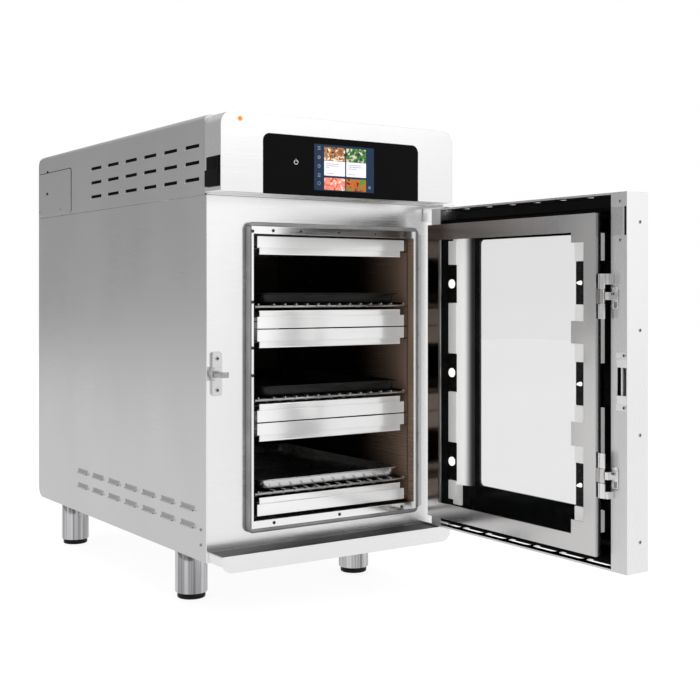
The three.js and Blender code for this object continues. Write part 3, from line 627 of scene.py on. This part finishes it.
on_glass("screen_base", rect(*SCREEN, 2), NAVY, 0.12)
TILE_COLUMNS = ((-45.5, 2), (5, 51))
TILE_ROWS = ((847, 873), (791.5, 814.6))
CARD_ROW = (818.6, 846.6)
FOODS = [((0.02, 0.012, 0.01), (0.35, 0.16, 0.07), (0.80, 0.66, 0.52)),
         ((0.02, 0.03, 0.06), (0.06, 0.20, 0.03), (0.62, 0.50, 0.46)),
         ((0.45, 0.05, 0.03), (0.75, 0.25, 0.17), (0.85, 0.80, 0.72)),
         ((0.05, 0.015, 0.01), (0.50, 0.10, 0.03), (0.10, 0.22, 0.03))]
for k, colours in enumerate(FOODS, 1):
    across = TILE_COLUMNS[(k - 1) % 2]
    down = TILE_ROWS[(k - 1) // 2]
    on_glass(f"screen_picture_{k}", rect(*across, *down), dish_picture(f"tile_{k}", 17 * k, *colours), 0.2)
for k, (u0, u1) in enumerate(TILE_COLUMNS, 1):
    on_glass(f"screen_card_{k}", rect(u0, u1, *CARD_ROW), CARD, 0.2)
    lines = Shape()
    for z, length in ((841, 30), (837.5, 22 + 6 * k), (834, 12 * (k - 1) + 8), (823, 18)):
        lines.prism(rect(u0 + 4, u0 + 4 + length, z - 0.45, z + 0.45, 0.4), "y", FACE - 0.3, FACE - 0.02)
    lines.make(f"screen_lines_{k}", TEXT, "oven", "control_glass")


ICON_FACE = FACE - 0.1
MENU_X, MENU_HALF = -57, 3
STROKE = 0.45


def circle_on_glass(shape, u, v, r, steps=20):
    turn = 2 * math.pi / steps
    path = [(u + r * math.cos(k * turn), ICON_FACE, v + r * math.sin(k * turn)) for k in range(steps)]
    shape.tube(path, 0.4, 8, closed=True)


def menu_bar(shape, z):
    shape.tube([(MENU_X - MENU_HALF, ICON_FACE, z), (MENU_X + MENU_HALF, ICON_FACE, z)], STROKE, 8)


icons = Shape()
for z in (866.9, 869.5, 872.1):
    menu_bar(icons, z)
for z, r in ((852, 3.0), (835.5, 3.0), (819.5, 2.4), (803, 3.0)):
    circle_on_glass(icons, MENU_X, z, r)
circle_on_glass(icons, MENU_X, 852, 1.2)
icons.tube([(MENU_X, ICON_FACE, 833.5), (MENU_X, ICON_FACE, 837.5)], 0.4, 8)
menu_bar(icons, 815.5)
for r in (2.6, 1.0):
    circle_on_glass(icons, 59.5, 800, r)
icons.make("screen_icons", ICON, "oven", "control_glass")

POWER_X, POWER_Z, POWER_R = -108, 840, 4.2
POWER_FACE = FACE - 0.15
power = Shape()
turns = [math.radians(a) for a in range(40, 321, 14)]
power.tube([(POWER_X + POWER_R * math.sin(a), POWER_FACE, POWER_Z + POWER_R * math.cos(a)) for a in turns],
           STROKE, 8)
power.tube([(POWER_X, POWER_FACE, z) for z in (POWER_Z + 0.5, POWER_Z + 5.2)], STROKE, 8)
power.make("power_symbol", CARD, "oven", "control_glass")

bezel = span("control_bezel")
STATUS_LAMP = (-226.6, bezel[2], 911.5)
Shape().prism(rounded(-WALL + 0.6, WALL - 0.6, 777, 923.4, 12), "y", bezel[3] + 0.1, bezel[3] + 1.1).make(
    "head_back_plate", SIDE, "oven", "side_steel", 0.2)
Shape().box(-WALL + 2, WALL - 2, -0.6, 6, COVER_Z0 + 0.2, bezel[4] - 0.1).make(
    "head_seam_strip", FRONT, "oven", "front_steel", 0.1)
Shape().turned([(5.0, 0.2), (5.0, -0.3), (4.6, -0.6), (4.2, -0.5)], STATUS_LAMP, "y", 28).make(
    "status_lamp_ring", BRIGHT, "oven", "polished_steel")
Shape().turned([(4.3, 0.0), (4.2, -0.7), (3.0, -1.2), (1.0, -1.5)], STATUS_LAMP, "y", 28).make(
    "status_lamp", AMBER, "oven", "lamp_white")

flap = span("port_cover")
refined("port_cover", RUBBER, 1.0)
ribs = Shape()
for z in (824 + k * 4.6 for k in range(4)):
    ribs.box(flap[0] + 0.9, flap[0] + 2.4, flap[2] + 9, flap[3] - 9, z - 0.9, z + 0.9)
ribs.make("port_cover_ribs", RUBBER, "port_flap", "black_rubber", 0.4)

# A dark box behind the cover's slots, painted shade for the dark inside seen through them, and the small
# pressed lip at the rear end of each slot.
SLOT_FIELD = (24, 560, 799, 877)
SLOT_ROWS = (868.5, 837.6, 806.7)
SLOT_COLUMNS = [57 + 92.4 * k for k in range(6)]
for side, tag in SIDES:
    x0, x1 = sorted((side * (WALL - 2.3), side * (WALL - 4)))
    Shape().box(x0, x1, *SLOT_FIELD).make(f"{tag}_slot_shade", DARK_GAP, "oven", "side_steel", 0.2)
    lips = Shape()
    x0, x1 = sorted((side * (WALL + 0.02), side * (WALL + 0.9)))
    for y in SLOT_COLUMNS:
        for z in SLOT_ROWS:
            lips.box(x0, x1, y + 28.3, y + 31.5, z - 4.6, z - 1.2)
    lips.make(f"{tag}_slot_lips", FRONT, "oven", "side_steel", 0.3)

# ---------- opening: gasket, screws ----------
BULB_R, ROOT_R = 4.0, 3.0
g = span("door_gasket")
run = rounded(g[0] + BULB_R + 0.2, g[1] - BULB_R - 0.2, g[4] + BULB_R + 0.2, g[5] - BULB_R - 0.2, 9)
seal = Shape()
seal.tube([(u, g[2] + BULB_R + 0.3, v) for u, v in run], BULB_R, 14, closed=True)
seal.tube([(u, g[3] - ROOT_R - 0.2, v) for u, v in run], ROOT_R, 10, closed=True)
seal.make("gasket_bulb", SILICONE, "oven", "black_rubber", replaces=("door_gasket",))

MOUTH = (-173, 200, 171, 706)  # the opening: x0, x1, z0, z1
face_y = span("cavity_liner")[2]
strip = [(x, face_y, MOUTH[3] + 7.2) for x in (-131.6, -71, 16, 104, 175)]
strip += [(x, face_y, MOUTH[2] - 7.4) for x in (-129.7, 18.5, 169.7)]
strip += [(MOUTH[0] - 2.9, face_y, z) for z in (711, 579, 493.5, 442)]
screws("mouth_screws", strip, "y", -1, 3.1, metal=DULL_BOLT)
TRIM = (207.5, 227.5, 158, 716)
TRIM_THICK = 1.4
panel_y = span("front_panel")[2]
Shape().prism(rounded(*TRIM, 1.5, 3), "y", panel_y - TRIM_THICK, panel_y - 0.05).make(
    "mouth_trim", SIDE, "oven", "bare_steel", 0.4)
places = [(218, panel_y - TRIM_THICK, 645 - 67.5 * k) for k in range(7)]
screws("mouth_trim_screws", places, "y", -1, 2.8, metal=DULL_BOLT)

# ---------- jet plates, shelves, pans ----------
FOLD_HIGH = 22
FOLD_THICK = 1.6
LIP_INSET = 7
CURL_R = 1.4
JETS = (11, 15, 7.0)  # columns, rows, radius
WIRES, WIRE_PITCH = 12, 25
for n in CHAMBERS:
    for kind in ("upper", "lower"):
        node = f"{kind}_jet_plate_{n}"
        x0, x1, y0, y1, z0, z1 = span(node)
        body = f"{kind}_plate_{n}"
        up = kind == "upper"
        front = (z1 - FOLD_HIGH, z1) if up else (z0, z0 + FOLD_HIGH)
        sheet = (front[0], front[0] + FOLD_THICK) if up else (front[1] - FOLD_THICK, front[1])
        lip = (z0, front[0] + 0.5) if up else (front[1] - 0.5, z1)
        fold = Shape().box(x0, x1, y0, y0 + FOLD_THICK, *front)
        back = (front[0] + 2, front[1]) if up else (front[0], front[1] - 2)
        fold.box(x0 + 1, x1 - 1, y1 - FOLD_THICK, y1, *back)
        fold.box(x0 + LIP_INSET, x1 - LIP_INSET, y0 + 4, y0 + 4 + FOLD_THICK, *lip)
        curl = lip[0] + CURL_R if up else lip[1] - CURL_R
        fold.tube([(x, y0 + 5.2, curl) for x in (x0 + LIP_INSET, x1 - LIP_INSET)], CURL_R, 10)
        fold.make(f"{kind}_jet_fold_{n}", FOLD, body, "bare_steel", 0.5, replaces=(node,))
        Shape().sheet_with_holes(x0 + 0.2, x1 - 0.2, y0 + 1.5, y1 - 1.5, *sheet, *JETS).make(
            f"{kind}_jet_sheet_{n}", BARE_Y, body, "bare_steel")

    x0, x1, y0, y1, z0, z1 = span(f"wire_shelf_{n}")
    rack = Shape()
    wire_z = z1 - 2
    for k in range(WIRES):
        x = (x0 + x1) / 2 + (k - (WIRES - 1) / 2) * WIRE_PITCH
        rack.tube([(x, y0 + 1, wire_z), (x, y1 - 1, wire_z)], 1.9, 12)
    for y in (y0 + 9, (y0 + y1) / 2, y1 - 8):
        rack.tube([(x0 + 1, y, wire_z - 4.2), (x1 - 1, y, wire_z - 4.2)], 2.5, 14)
    for x in (x0 + 6, x1 - 6):
        rack.tube([(x, y0 + 4, wire_z - 0.2), (x, y1 - 4, wire_z - 0.2)], 2.3, 12)
    rack.make(f"wire_rack_{n}", WIRE, f"shelf_{n}", "polished_steel", replaces=(f"wire_shelf_{n}",))

    x0, x1, y0, y1, z0, z1 = span(f"pan_{n}")
    cx, cy, hx, hy = (x0 + x1) / 2, (y0 + y1) / 2, (x1 - x0) / 2, (y1 - y0) / 2

    def loop(inset, z, r):
        across, along = hx - inset, hy - inset
        return [(u, v, z) for u, v in rounded(cx - across, cx + across, cy - along, cy + along, r)]

    dish = Shape().loops([
        loop(14, z0, 14), loop(10.5, z0 + 0.8, 16), loop(9, z0 + 2.6, 17), loop(6.5, z1 - 3.2, 19),
        loop(3.4, z1 - 2.6, 20.5), loop(1.2, z1 - 2.4, 21.5), loop(0.2, z1 - 1.6, 22), loop(0, z1 - 1.0, 22),
        loop(0.6, z1 - 0.2, 22), loop(2.2, z1, 21), loop(5.6, z1 - 0.1, 19.5), loop(7.4, z1 - 1.2, 18.5),
        loop(10.2, z0 + 4, 16), loop(11.8, z0 + 2.0, 15), loop(15, z0 + 1.2, 13)])
    coat, coat_slot = (BRIGHT_PAN, "bright_pan") if n == CHAMBERS[-1] else (DARK_PAN, "dark_pan")
    dish.make(f"baking_pan_{n}", coat, f"tray_{n}", coat_slot, replaces=(f"pan_{n}",), smooth=60)

# ---------- door ----------
PANE = span("outer_glass")
WINDOW = (-430, -141, 215, 700.6)


def ring_prism(outer, hole, low, high):
    """A flat ring across x between two outlines with the same number of points."""
    rings = [[(low, u, v) for u, v in outer], [(high, u, v) for u, v in outer],
             [(high, u, v) for u, v in hole], [(low, u, v) for u, v in hole]]
    rings.append(rings[0])
    return Shape().loops(rings, cap=False)


ring_prism(rounded(*PANE[2:], 6), rounded(*WINDOW, 9), PANE[0], PANE[1]).make(
    "outer_glass_border", PRINT, "door", "outer_glass", replaces=("outer_glass",))
FIT = 0.02
clear = rounded(WINDOW[0] + FIT, WINDOW[1] - FIT, WINDOW[2] + FIT, WINDOW[3] - FIT, 9)
Shape().prism(clear, "x", PANE[0] + 0.3, PANE[1] - 0.3).make(
    "outer_glass_window", TINTED, "door", "outer_glass")

# Black channel that lines the inside of the door round the glass.
CHANNEL_Y = (door[2] + 36.5, door[3] - 28)
CHANNEL_Z = (138, 741)
wall_side = rounded(CHANNEL_Y[0] + 0.2, CHANNEL_Y[1] - 0.2, *CHANNEL_Z, 2, 2)
glass_side = rounded(CHANNEL_Y[0] + 3, CHANNEL_Y[1] - 2.4, CHANNEL_Z[0] + 7, CHANNEL_Z[1] - 4, 2, 2)
ring_prism(wall_side, glass_side, door[0] + 3, PANE[0] - 0.3).make(
    "glass_channel", DARK_GAP, "door", "black_plastic")


def fading_enamel(name, start, stop):
    """White enamel with painted shade and light: it darkens between two depths, as the curved reflector
    turns away from the lamps, and glows in its own colour.
    """
    shader = Shader(name, (0.9, 0.9, 0.9), 0.35, Emission_Strength=0.5)
    coord = shader.node("ShaderNodeTexCoord")
    split = shader.node("ShaderNodeSeparateXYZ")
    shader.link(coord.outputs["Object"], split.inputs[0])
    fade = shader.node("ShaderNodeMapRange", interpolation_type="SMOOTHSTEP")
    fade.inputs["From Min"].default_value = place(0, start, 0).y
    fade.inputs["From Max"].default_value = place(0, stop, 0).y
    shader.link(split.outputs["Y"], fade.inputs["Value"])
    mix = shader.node("ShaderNodeMix", data_type="RGBA")
    mix.inputs[6].default_value = (0.88, 0.88, 0.87, 1)
    mix.inputs[7].default_value = (0.003, 0.003, 0.003, 1)
    shader.link(fade.outputs["Result"], mix.inputs[0])
    shader.link(mix.outputs[2], shader.principled.inputs["Base Color"])
    shader.link(mix.outputs[2], shader.principled.inputs["Emission Color"])
    grain = shader.noise((500, 500, 500), 2.0)
    shader.link(shader.spread(grain, 0.3, 0.42), shader.principled.inputs["Roughness"])
    return shader.material


LAMP_Z = (258, 436, 614)
SOCKET_HALF = 38.5
SOCKET_REACH = 12.6
STRIP_X = (240, 252)
STRIP_BACK = 257.5


def lamp_column(node, tag, strip_reach, lens_profile, lens_shift):
    """White strips with a black socket round each lamp; strip_reach is how far they run to -y and +y."""
    x0, x1, y0, y1, z0, z1 = span(node)
    middle = (y0 + y1) / 2
    low_y, high_y = middle - strip_reach[0], middle + strip_reach[1]
    strip, holder, lens = Shape(), Shape(), Shape()
    edges = [z0 + 12]
    for z in LAMP_Z:
        edges += [z - SOCKET_HALF, z + SOCKET_HALF]
    edges.append(z1 - 22)
    for low, high in zip(edges[0::2], edges[1::2]):
        strip.box(*STRIP_X, low_y, high_y, low, high)
    strip.box(STRIP_X[1], STRIP_BACK, middle - 12, middle + 12, z0, z1)
    strip.make(f"lamp_strip_{tag}", ENAMEL, "door", "lamp_white", 0.6, replaces=(node,))
    for z in LAMP_Z:
        holder.box(STRIP_X[0] + 3, STRIP_X[1], middle - SOCKET_REACH, middle + SOCKET_REACH,
                   z - SOCKET_HALF + 0.4, z + SOCKET_HALF - 0.4)
        for dz in (-24, 24):
            holder.turned([(4.5, -3.2), (4.2, -4.4), (3, -4.8)], (246, middle, z + dz), "x", 20)
        holder.turned([(12, 0), (12, -1.6), (11.2, -2.2)], (243.4, middle + lens_shift, z), "x", 36)
        lens.turned(lens_profile, (243.2, middle + lens_shift, z), "x", 36)
    holder.make(f"lamp_holders_{tag}", BLACK, "door", "black_plastic", 0.5)
    lens.make(f"lamp_lenses_{tag}", LAMP, "door", "lamp_white")
    return middle


ROUND_LENS = [(9.0, 0), (8.8, -4.4), (7, -6.0), (4, -6.9), (1.0, -7.2)]
SLIM_LENS = [(4.2, 0), (3.4, -5.0), (2.2, -9.0), (1.0, -11.5), (0.4, -12.4)]
hinge_middle = lamp_column("lamp_bar_hinge_side", "hinge_side", (13, 13), ROUND_LENS, 1.5)
lamp_column("lamp_bar_latch_side", "latch_side", (48, 13), SLIM_LENS, -1)
REFLECTOR_DEPTH, REFLECTOR_RISE = 38, 16
REFLECTOR_THICK = 1.2
REFLECTOR_TURN, REFLECTOR_STEPS = 84, 14
start = hinge_middle - 13.2


def reflector_line(inset):
    """The curved section of the reflector, or the same line moved in by its thickness."""
    line = []
    for k in range(REFLECTOR_STEPS + 1):
        a = math.radians(REFLECTOR_TURN * k / REFLECTOR_STEPS)
        line.append((STRIP_X[0] + 1 + inset + REFLECTOR_RISE * (1 - math.cos(a)),
                     start - (REFLECTOR_DEPTH - inset) * math.sin(a)))
    return line


section = reflector_line(0) + list(reversed(reflector_line(REFLECTOR_THICK)))
reflector_white = fading_enamel("reflector_fade", start - 18, start - 36)
Shape().prism(section, "z", 214, 712).make(
    "lamp_reflector", reflector_white, "door", "lamp_white", smooth=50)

latch_x = (door[0] + door[1]) / 2 + 6
places = [(latch_x, door[2] + LATCH_INSET, z) for z in (715.5, 533.5, 357.5, 178)]
screws("latch_wall_screws", places, "y", -1, 3.3, "door", LATCH_INSET - 0.04)
bar = span("striker_bar")
places = [(door[0] - 0.8, -562, z) for z in (bar[4] - 5.5, bar[5] + 5.5)]
screws("striker_screws", places, "x", -1, 3.2, "door")
screws("flange_screws", [(door[0], -553, z) for z in (750, 685)], "x", -1, 3.0, "door")
# The leaf of each window hinge that is fixed to the door, about the hinge's pin.
PIN = (207, -525, 0)
LEAF_HALF, KNUCKLE_GAP = 38, 12.6
PLATE_BACK = door[0] - 0.4
for tag, outer_arm in (("top", (20, 38)), ("bottom", (-38, -26))):
    hinge = span(f"window_hinge_{tag}")
    z = (hinge[4] + hinge[5]) / 2
    leaf = Shape()
    halves = ((z - LEAF_HALF, z - KNUCKLE_GAP), (z + KNUCKLE_GAP, z + LEAF_HALF))
    for low, high in halves:
        leaf.box(203.5, 206, -533, -518.5, low, high)
    for low, high in halves:
        leaf.turned([(5, low), (5, high)], PIN, "z", 28)
    leaf.turned([(2, z - 36), (2, z + 36)], PIN, "z", 20)
    for low, high in (outer_arm, (-6, 7)):
        leaf.box(206, door[0] - 0.5, -539, -531, z + low, z + high)
    outline = [(v, u) for u, v in rounded(z - 22, z + 16, -549, -533.5, 7, 6)]
    leaf.prism(outline, "x", door[0] - 2.2, PLATE_BACK)
    leaf.make(f"window_hinge_leaf_{tag}", BRIGHT, "door", "bare_steel", 0.5,
              replaces=(f"window_hinge_{tag}",))
    screws(f"window_hinge_screws_{tag}", [(door[0] - 2.2, -541, z + 4)], "x", -1, 3.0, "door")
    Shape().box(door[0] - 2.6, door[0] - 2.15, -547.5, -540.5, z - 19, z - 9).make(
        f"window_hinge_mark_{tag}", BOLT, "door", "bare_steel", 0.1)
block = span("catch_block")
screws("catch_screws", [(-247.5, block[3] - 5.6, z) for z in (476, 418)], "y", -1, 3.6)
ON_FLANGE = door[0] - 0.05
SLOT_Z = (693, 741)
END_LONG = 11
ends = Shape()
for low, high in ((bar[5], bar[5] + END_LONG), (bar[4] - END_LONG, bar[4])):
    ends.box(door[0] - 0.8, ON_FLANGE, -566, -543, low, high)
ends.make("striker_ends", FRONT_Z, "door", "polished_steel", 0.3)
Shape().box(door[0] - 1.0, ON_FLANGE, -556.5, -532.5, *SLOT_Z).make(
    "flange_cover_plate", SIDE, "door", "bare_steel", 0.3)
Shape().box(door[0] - 0.5, ON_FLANGE, -565.5, -562.0, *SLOT_Z).make(
    "flange_slot_shade", DARK_GAP, "door", "black_plastic", 0.1)

handle = span("door_handle")
hy = (handle[2] + handle[3]) / 2
GRIP_R = 6.0
grip = Shape()
grip.tube([(handle[1] - GRIP_R - 0.2, hy, z) for z in (handle[4] + 4, handle[5] - 4)], GRIP_R, 28)
for z in (330, 570):
    grip.turned([(9, 0.6), (9, 2.4), (7.4, 4.0), (6, 6), (6, 34), (5, 37)], (door[1], hy, z), "x", 28)
grip.make("door_pull", BRIGHT, "door", "bare_steel", replaces=("door_handle",))


# ---------- studio ----------
# Brightness of the studio round the horizon, by the angle from +x, for everything but the camera's own view.
PANELS = [(-180, 0.75), (-174, 0.8), (-170, 0.30), (-120, 0.28), (-106, 0.45), (-98, 1.0), (-30, 1.0),
          (-24, 0.06), (-8, 0.06), (-2, 0.6), (40, 0.5), (90, 0.36), (112, 0.38), (130, 0.46), (165, 0.40),
          (172, 0.34), (176, 0.75), (180, 0.75)]


FLOOR_GLOW = (0.68, 0.88)  # for everything else, and for the camera
FLOOR_HALF = 9.0
FLOOR_TONE = 0.20
ZENITH = (0.85, 0.85, 0.86, 1)
ZENITH_RISE = (0.25, 0.75)
# name, place in metres, size, power, what it points at
LIGHTS = (("key", (1.8, -3.0, 2.6), 2.2, 14, (0, 0, 0.5)),
          ("top", (0.2, 0.4, 3.4), 2.4, 10, (0, 0.2, 0.5)))


def fill_ramp(ramp, stops):
    while len(ramp.elements) < len(stops):
        ramp.elements.new(0.5)
    for element, (position, value) in zip(ramp.elements, stops):
        element.position = position
        element.color = (value, value, value, 1)


def pale_floor():
    mesh = bpy.data.meshes.new("floor")
    corners = [(-FLOOR_HALF, -FLOOR_HALF, 0), (FLOOR_HALF, -FLOOR_HALF, 0), (FLOOR_HALF, FLOOR_HALF, 0),
               (-FLOOR_HALF, FLOOR_HALF, 0)]
    mesh.from_pydata(corners, [], [(0, 1, 2, 3)])
    ground = bpy.data.objects.new("floor", mesh)
    bpy.context.scene.collection.objects.link(ground)
    tone = (FLOOR_TONE,) * 3
    pale = Shader("floor_pale", tone, 0.7, Emission_Color=(1, 1, 1, 1), Specular_IOR_Level=0.1)
    pale.tint(pale.noise((0.5, 0.5, 0.5)), *shades(tone, 0.025))
    seen_by = pale.node("ShaderNodeLightPath")
    glow = pale.node("ShaderNodeMapRange")
    glow.inputs["To Min"].default_value = FLOOR_GLOW[0]
    glow.inputs["To Max"].default_value = FLOOR_GLOW[1]
    pale.link(seen_by.outputs["Is Camera Ray"], glow.inputs["Value"])
    pale.link(glow.outputs["Result"], pale.principled.inputs["Emission Strength"])
    mesh.materials.append(pale.material)


def room():
    """White to the camera; to everything else, panels of different brightness under a pale zenith."""
    world = bpy.data.worlds.new("studio")
    bpy.context.scene.world = world
    world.use_nodes = True
    tree = world.node_tree
    tree.nodes.clear()

    def add(kind, **settings):
        node = tree.nodes.new(kind)
        for key, value in settings.items():
            if key in node.inputs:
                node.inputs[key].default_value = value
            else:
                setattr(node, key, value)
        return node

    coord = add("ShaderNodeTexCoord")
    split = add("ShaderNodeSeparateXYZ")
    tree.links.new(coord.outputs["Generated"], split.inputs[0])
    turn = add("ShaderNodeMath", operation="ARCTAN2")
    tree.links.new(split.outputs["Y"], turn.inputs[0])
    tree.links.new(split.outputs["X"], turn.inputs[1])
    share = add("ShaderNodeMapRange")
    share.inputs["From Min"].default_value = -math.pi
    share.inputs["From Max"].default_value = math.pi
    tree.links.new(turn.outputs[0], share.inputs["Value"])
    around = add("ShaderNodeValToRGB")
    tree.links.new(share.outputs["Result"], around.inputs["Fac"])
    fill_ramp(around.color_ramp, [((degrees + 180) / 360, value) for degrees, value in PANELS])
    above = add("ShaderNodeMapRange", interpolation_type="SMOOTHSTEP")
    above.inputs["From Min"].default_value = ZENITH_RISE[0]
    above.inputs["From Max"].default_value = ZENITH_RISE[1]
    tree.links.new(split.outputs["Z"], above.inputs["Value"])
    blend = add("ShaderNodeMix", data_type="RGBA")
    blend.inputs[7].default_value = ZENITH
    tree.links.new(above.outputs["Result"], blend.inputs[0])
    tree.links.new(around.outputs["Color"], blend.inputs[6])
    lit = add("ShaderNodeBackground")
    tree.links.new(blend.outputs[2], lit.inputs["Color"])
    seen = add("ShaderNodeBackground", Color=(1, 1, 1, 1))
    path = add("ShaderNodeLightPath")
    mix = add("ShaderNodeMixShader")
    out = add("ShaderNodeOutputWorld")
    tree.links.new(path.outputs["Is Camera Ray"], mix.inputs[0])
    tree.links.new(lit.outputs[0], mix.inputs[1])
    tree.links.new(seen.outputs[0], mix.inputs[2])
    tree.links.new(mix.outputs[0], out.inputs["Surface"])


def lights():
    for name, spot, size, power, aim in LIGHTS:
        lamp = bpy.data.lights.new(name, "AREA")
        lamp.size = size
        lamp.energy = power
        obj = bpy.data.objects.new(name, lamp)
        obj.location = spot
        obj.rotation_euler = (Vector(aim) - Vector(spot)).to_track_quat("-Z", "Y").to_euler()
        bpy.context.scene.collection.objects.link(obj)


CAMERA_AT = (-1272.5, -1939.1, 599)
CAMERA_TURN = -34.309
LENS, SHIFT = 61.1, -0.0838


def camera():
    data = bpy.data.cameras.new("camera")
    data.sensor_width = 36
    data.lens = LENS
    data.shift_y = SHIFT
    cam = bpy.data.objects.new("camera", data)
    cam.location = place(*CAMERA_AT)
    cam.rotation_euler = (math.radians(90), 0, math.radians(CAMERA_TURN))
    bpy.context.scene.collection.objects.link(cam)
    bpy.context.scene.camera = cam


pale_floor()
room()
lights()
camera()
bpy.context.scene.view_settings.view_transform = "Standard"
